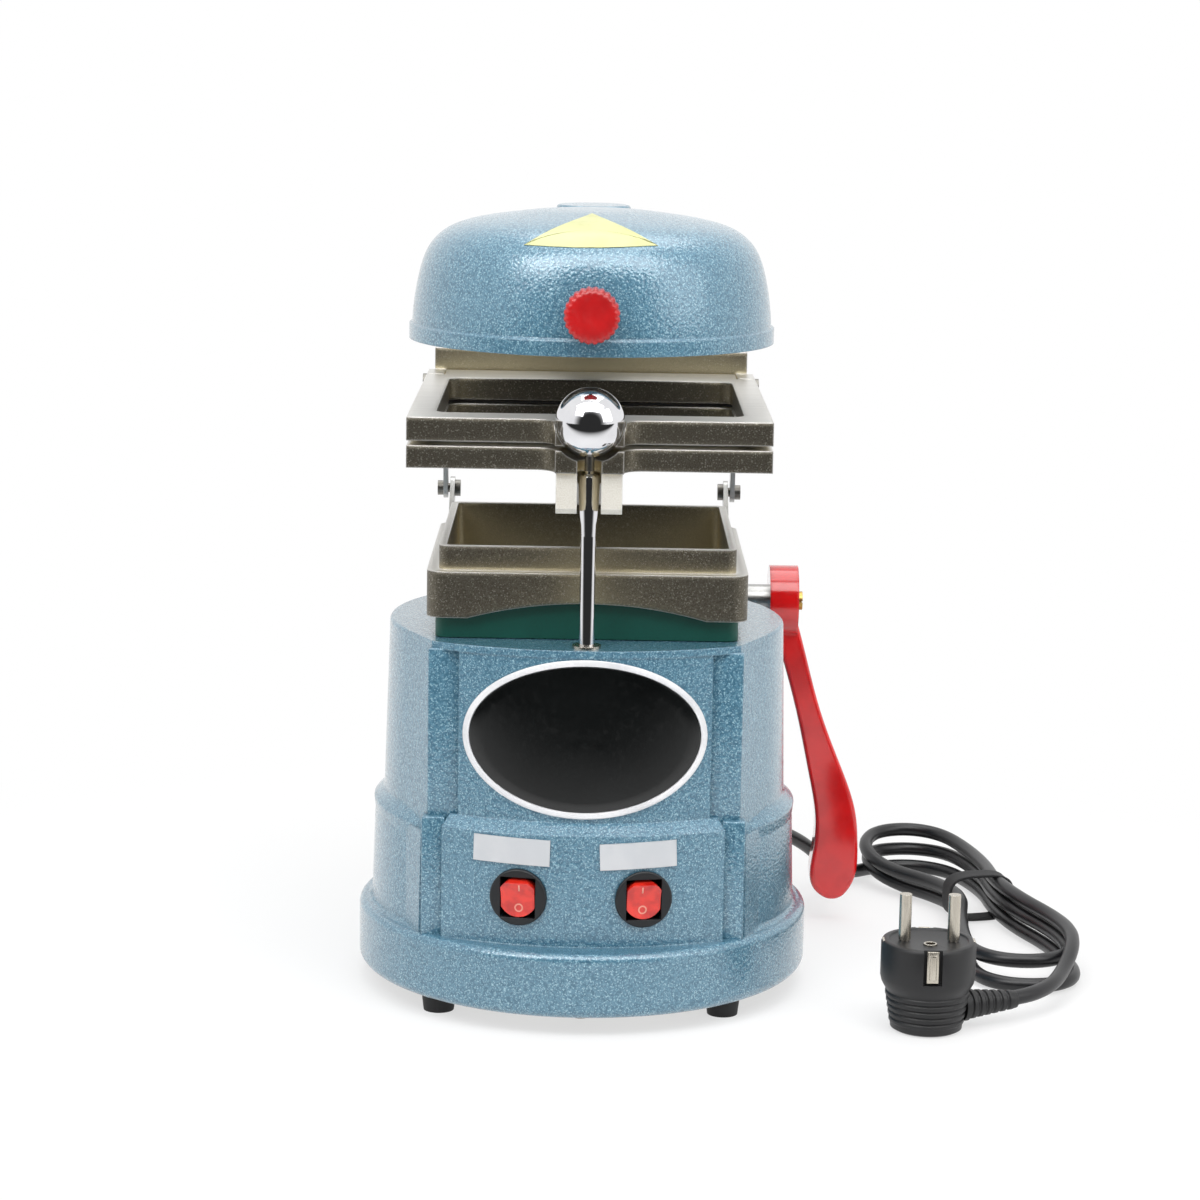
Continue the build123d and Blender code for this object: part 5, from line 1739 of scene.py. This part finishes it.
@dataclass
class LiftGear:
    """The column and the lever with its shaft, cranks and links."""

    def build(self) -> None:
        """Dresses the column, the shaft and what hangs on them."""
        dress(Wear.STEEL, "column", "cross_shaft", "hub_collar")
        dress(Wear.STEEL, "crank_left", "crank_right", "link_left", "link_right")
        dress(Wear.SCREW, "column_nut", "crank_pin_left", "crank_pin_right")
        dress(Wear.SCREW, "link_rivet_left", "link_rivet_right")
        dress(Wear.BRASS, "lever_screw", "shaft_bushes")
        dress(Wear.LEVER, "lever")


@dataclass
class SuctionGear:
    """The motor and fan inside the base."""

    def build(self) -> None:
        """Dresses the motor, its fan and its seal."""
        dress(Wear.MOTOR, "vacuum_motor")
        dress(Wear.FAN, "motor_fan")
        dress(Wear.SEAL, "motor_seal")


# --------------------------------------------------------------------------- the heater head


@dataclass
class HeaterHead:
    """The swivelling dome with its patch and knob, and the element under it."""

    knob_at: Triple = (0.0, -73.0, 277.0)
    knob_radius: float = 10.6
    knob_foot: tuple[Pair, ...] = ((0.0, 0.0), (6.0, 0.0), (6.3, 1.2), (8.6, 1.6))
    knob_rim: tuple[float, ...] = (2.6, 4.0, 6.0, 8.0, 9.6)
    knob_face: tuple[Pair, ...] = (
        (10.2, 10.6), (9.5, 11.2), (8.4, 11.6), (6.6, 11.85),
        (4.6, 11.95), (2.4, 12.0), (0.0, 12.0),
    )
    flutes: int = 24
    flute_sides: int = 8
    flute_deep: float = 0.55
    flute_sharp: float = 1.4
    flute_inner: float = 8.0
    flute_fade: float = 2.0
    flute_end: float = 11.3
    patch_centre: Pair = (-0.6, -50.5)
    patch_corners: tuple[Pair, ...] = ((-0.6, -23.0), (24.6, -55.4), (-26.2, -55.4))
    patch_pulls: tuple[Pair, ...] = ((12.8, -53.8), (-0.9, -67.6), (-14.4, -53.8))
    patch_drop: float = 330.0
    patch_sides: int = 144
    patch_rings: int = 12
    patch_gap: float = 0.14
    patch_thick: float = 0.16

    def build(self) -> None:
        """Makes the knob and the patch and dresses the head's own parts."""
        self.knob()
        self.patch()
        dress(Wear.BLUE, "heater_dome")
        dress(Wear.PRESSED, "reflector")
        dress(Wear.SHEATH, "heating_element")
        dress(Wear.CERAMIC, "ceramic_posts")
        dress(Wear.SCREW, "knob_screw")

    def knob(self) -> None:
        """A round knob with flutes round it and a plain, slightly domed face."""
        foot = mm(*self.knob_at)
        rim = [(self.knob_radius, height) for height in self.knob_rim]
        profile = [*self.knob_foot, *rim, *self.knob_face]
        bench = Bench.turned("dome_knob", profile, foot, FRONT, self.flutes * self.flute_sides)

        def fluted(point: Vector) -> Vector:
            """Presses a shallow groove into the rim at each flute.

            Args:
                point: a point of the plain knob.

            Returns:
                Where it lies on the fluted one.
            """
            away = Vector((point.x - foot.x, 0, point.z - foot.z))
            reach = away.length / MM
            depth = (foot.y - point.y) / MM
            if reach < self.flute_inner or depth > self.flute_end:
                return point
            angle = math.atan2(away.z, away.x) * self.flutes
            press = self.flute_deep * (0.5 + 0.5 * math.cos(angle)) ** self.flute_sharp
            fade = min(1.0, (reach - self.flute_inner) / self.flute_fade)
            return point - away.normalized() * press * fade * MM

        bench.shape(fluted)
        bench.hand_over("head", Slot.RED_PLASTIC, Wear.KNOB, ("head_knob",))

    def patch(self) -> None:
        """A thin plain triangular film with bowed sides, laid on the dome's crown."""
        centre = mm(*self.patch_centre, self.patch_drop)
        bench = Bench.hoop("dome_patch", centre, UP, self.patch_sides)
        bench.clear()
        bench.shape(self.bowed)
        bench.edit()
        bpy.ops.mesh.select_all(action="SELECT")
        for left in range(self.patch_rings - 1, 0, -1):
            bench.extrude(mm(0, 0, 0))
            share = left / (left + 1)
            bench.resize((share, share, 1.0), centre)
        bench.extrude(mm(0, 0, 0))
        bpy.ops.mesh.merge(type="CENTER")
        bench.close_up()

        def laid(point: Vector) -> Vector:
            """Drops a point of the flat film onto the dome."""
            return touch("heater_dome", point, -UP)[0] + mm(0, 0, self.patch_gap)

        bench.shape(laid)
        bench.modifier("SOLIDIFY", thickness=self.patch_thick * MM, offset=1.0)
        bench.close_up()
        bench.hand_over("head", Slot.BLUE, Wear.PATCH)

    def bowed(self, point: Vector) -> Vector:
        """A unit circle's point, moved onto the patch's outline of three bowed sides.

        Args:
            point: a point of the unit circle.

        Returns:
            Where it lies on the outline, at the same height.
        """
        x, y = self.patch_centre
        count = len(self.patch_corners)
        angle = math.atan2(point.x / MM - x, point.y / MM - y) % TURN
        side, share = divmod(angle / TURN * count, 1)
        start = self.patch_corners[int(side) % count]
        end = self.patch_corners[(int(side) + 1) % count]
        pull = self.patch_pulls[int(side) % count]
        place = [
            (1 - share) ** 2 * first + 2 * share * (1 - share) * second + share**2 * third
            for first, second, third in zip(start, pull, end)
        ]
        return Vector((place[0] * MM, place[1] * MM, point.z))


def main() -> None:
    """Builds the studio and every sub-assembly of the machine, in order."""
    logging.basicConfig(level=logging.INFO, format="%(name)s: %(message)s")
    for assembly in (
        Studio(),
        MainsLead(),
        PaintedBase(),
        SwitchPair(),
        FormingGear(),
        LiftGear(),
        SuctionGear(),
        HeaterHead(),
    ):
        assembly.build()
        LOG.info("finished %s", type(assembly).__name__)


if __name__ == "__main__":
    main()
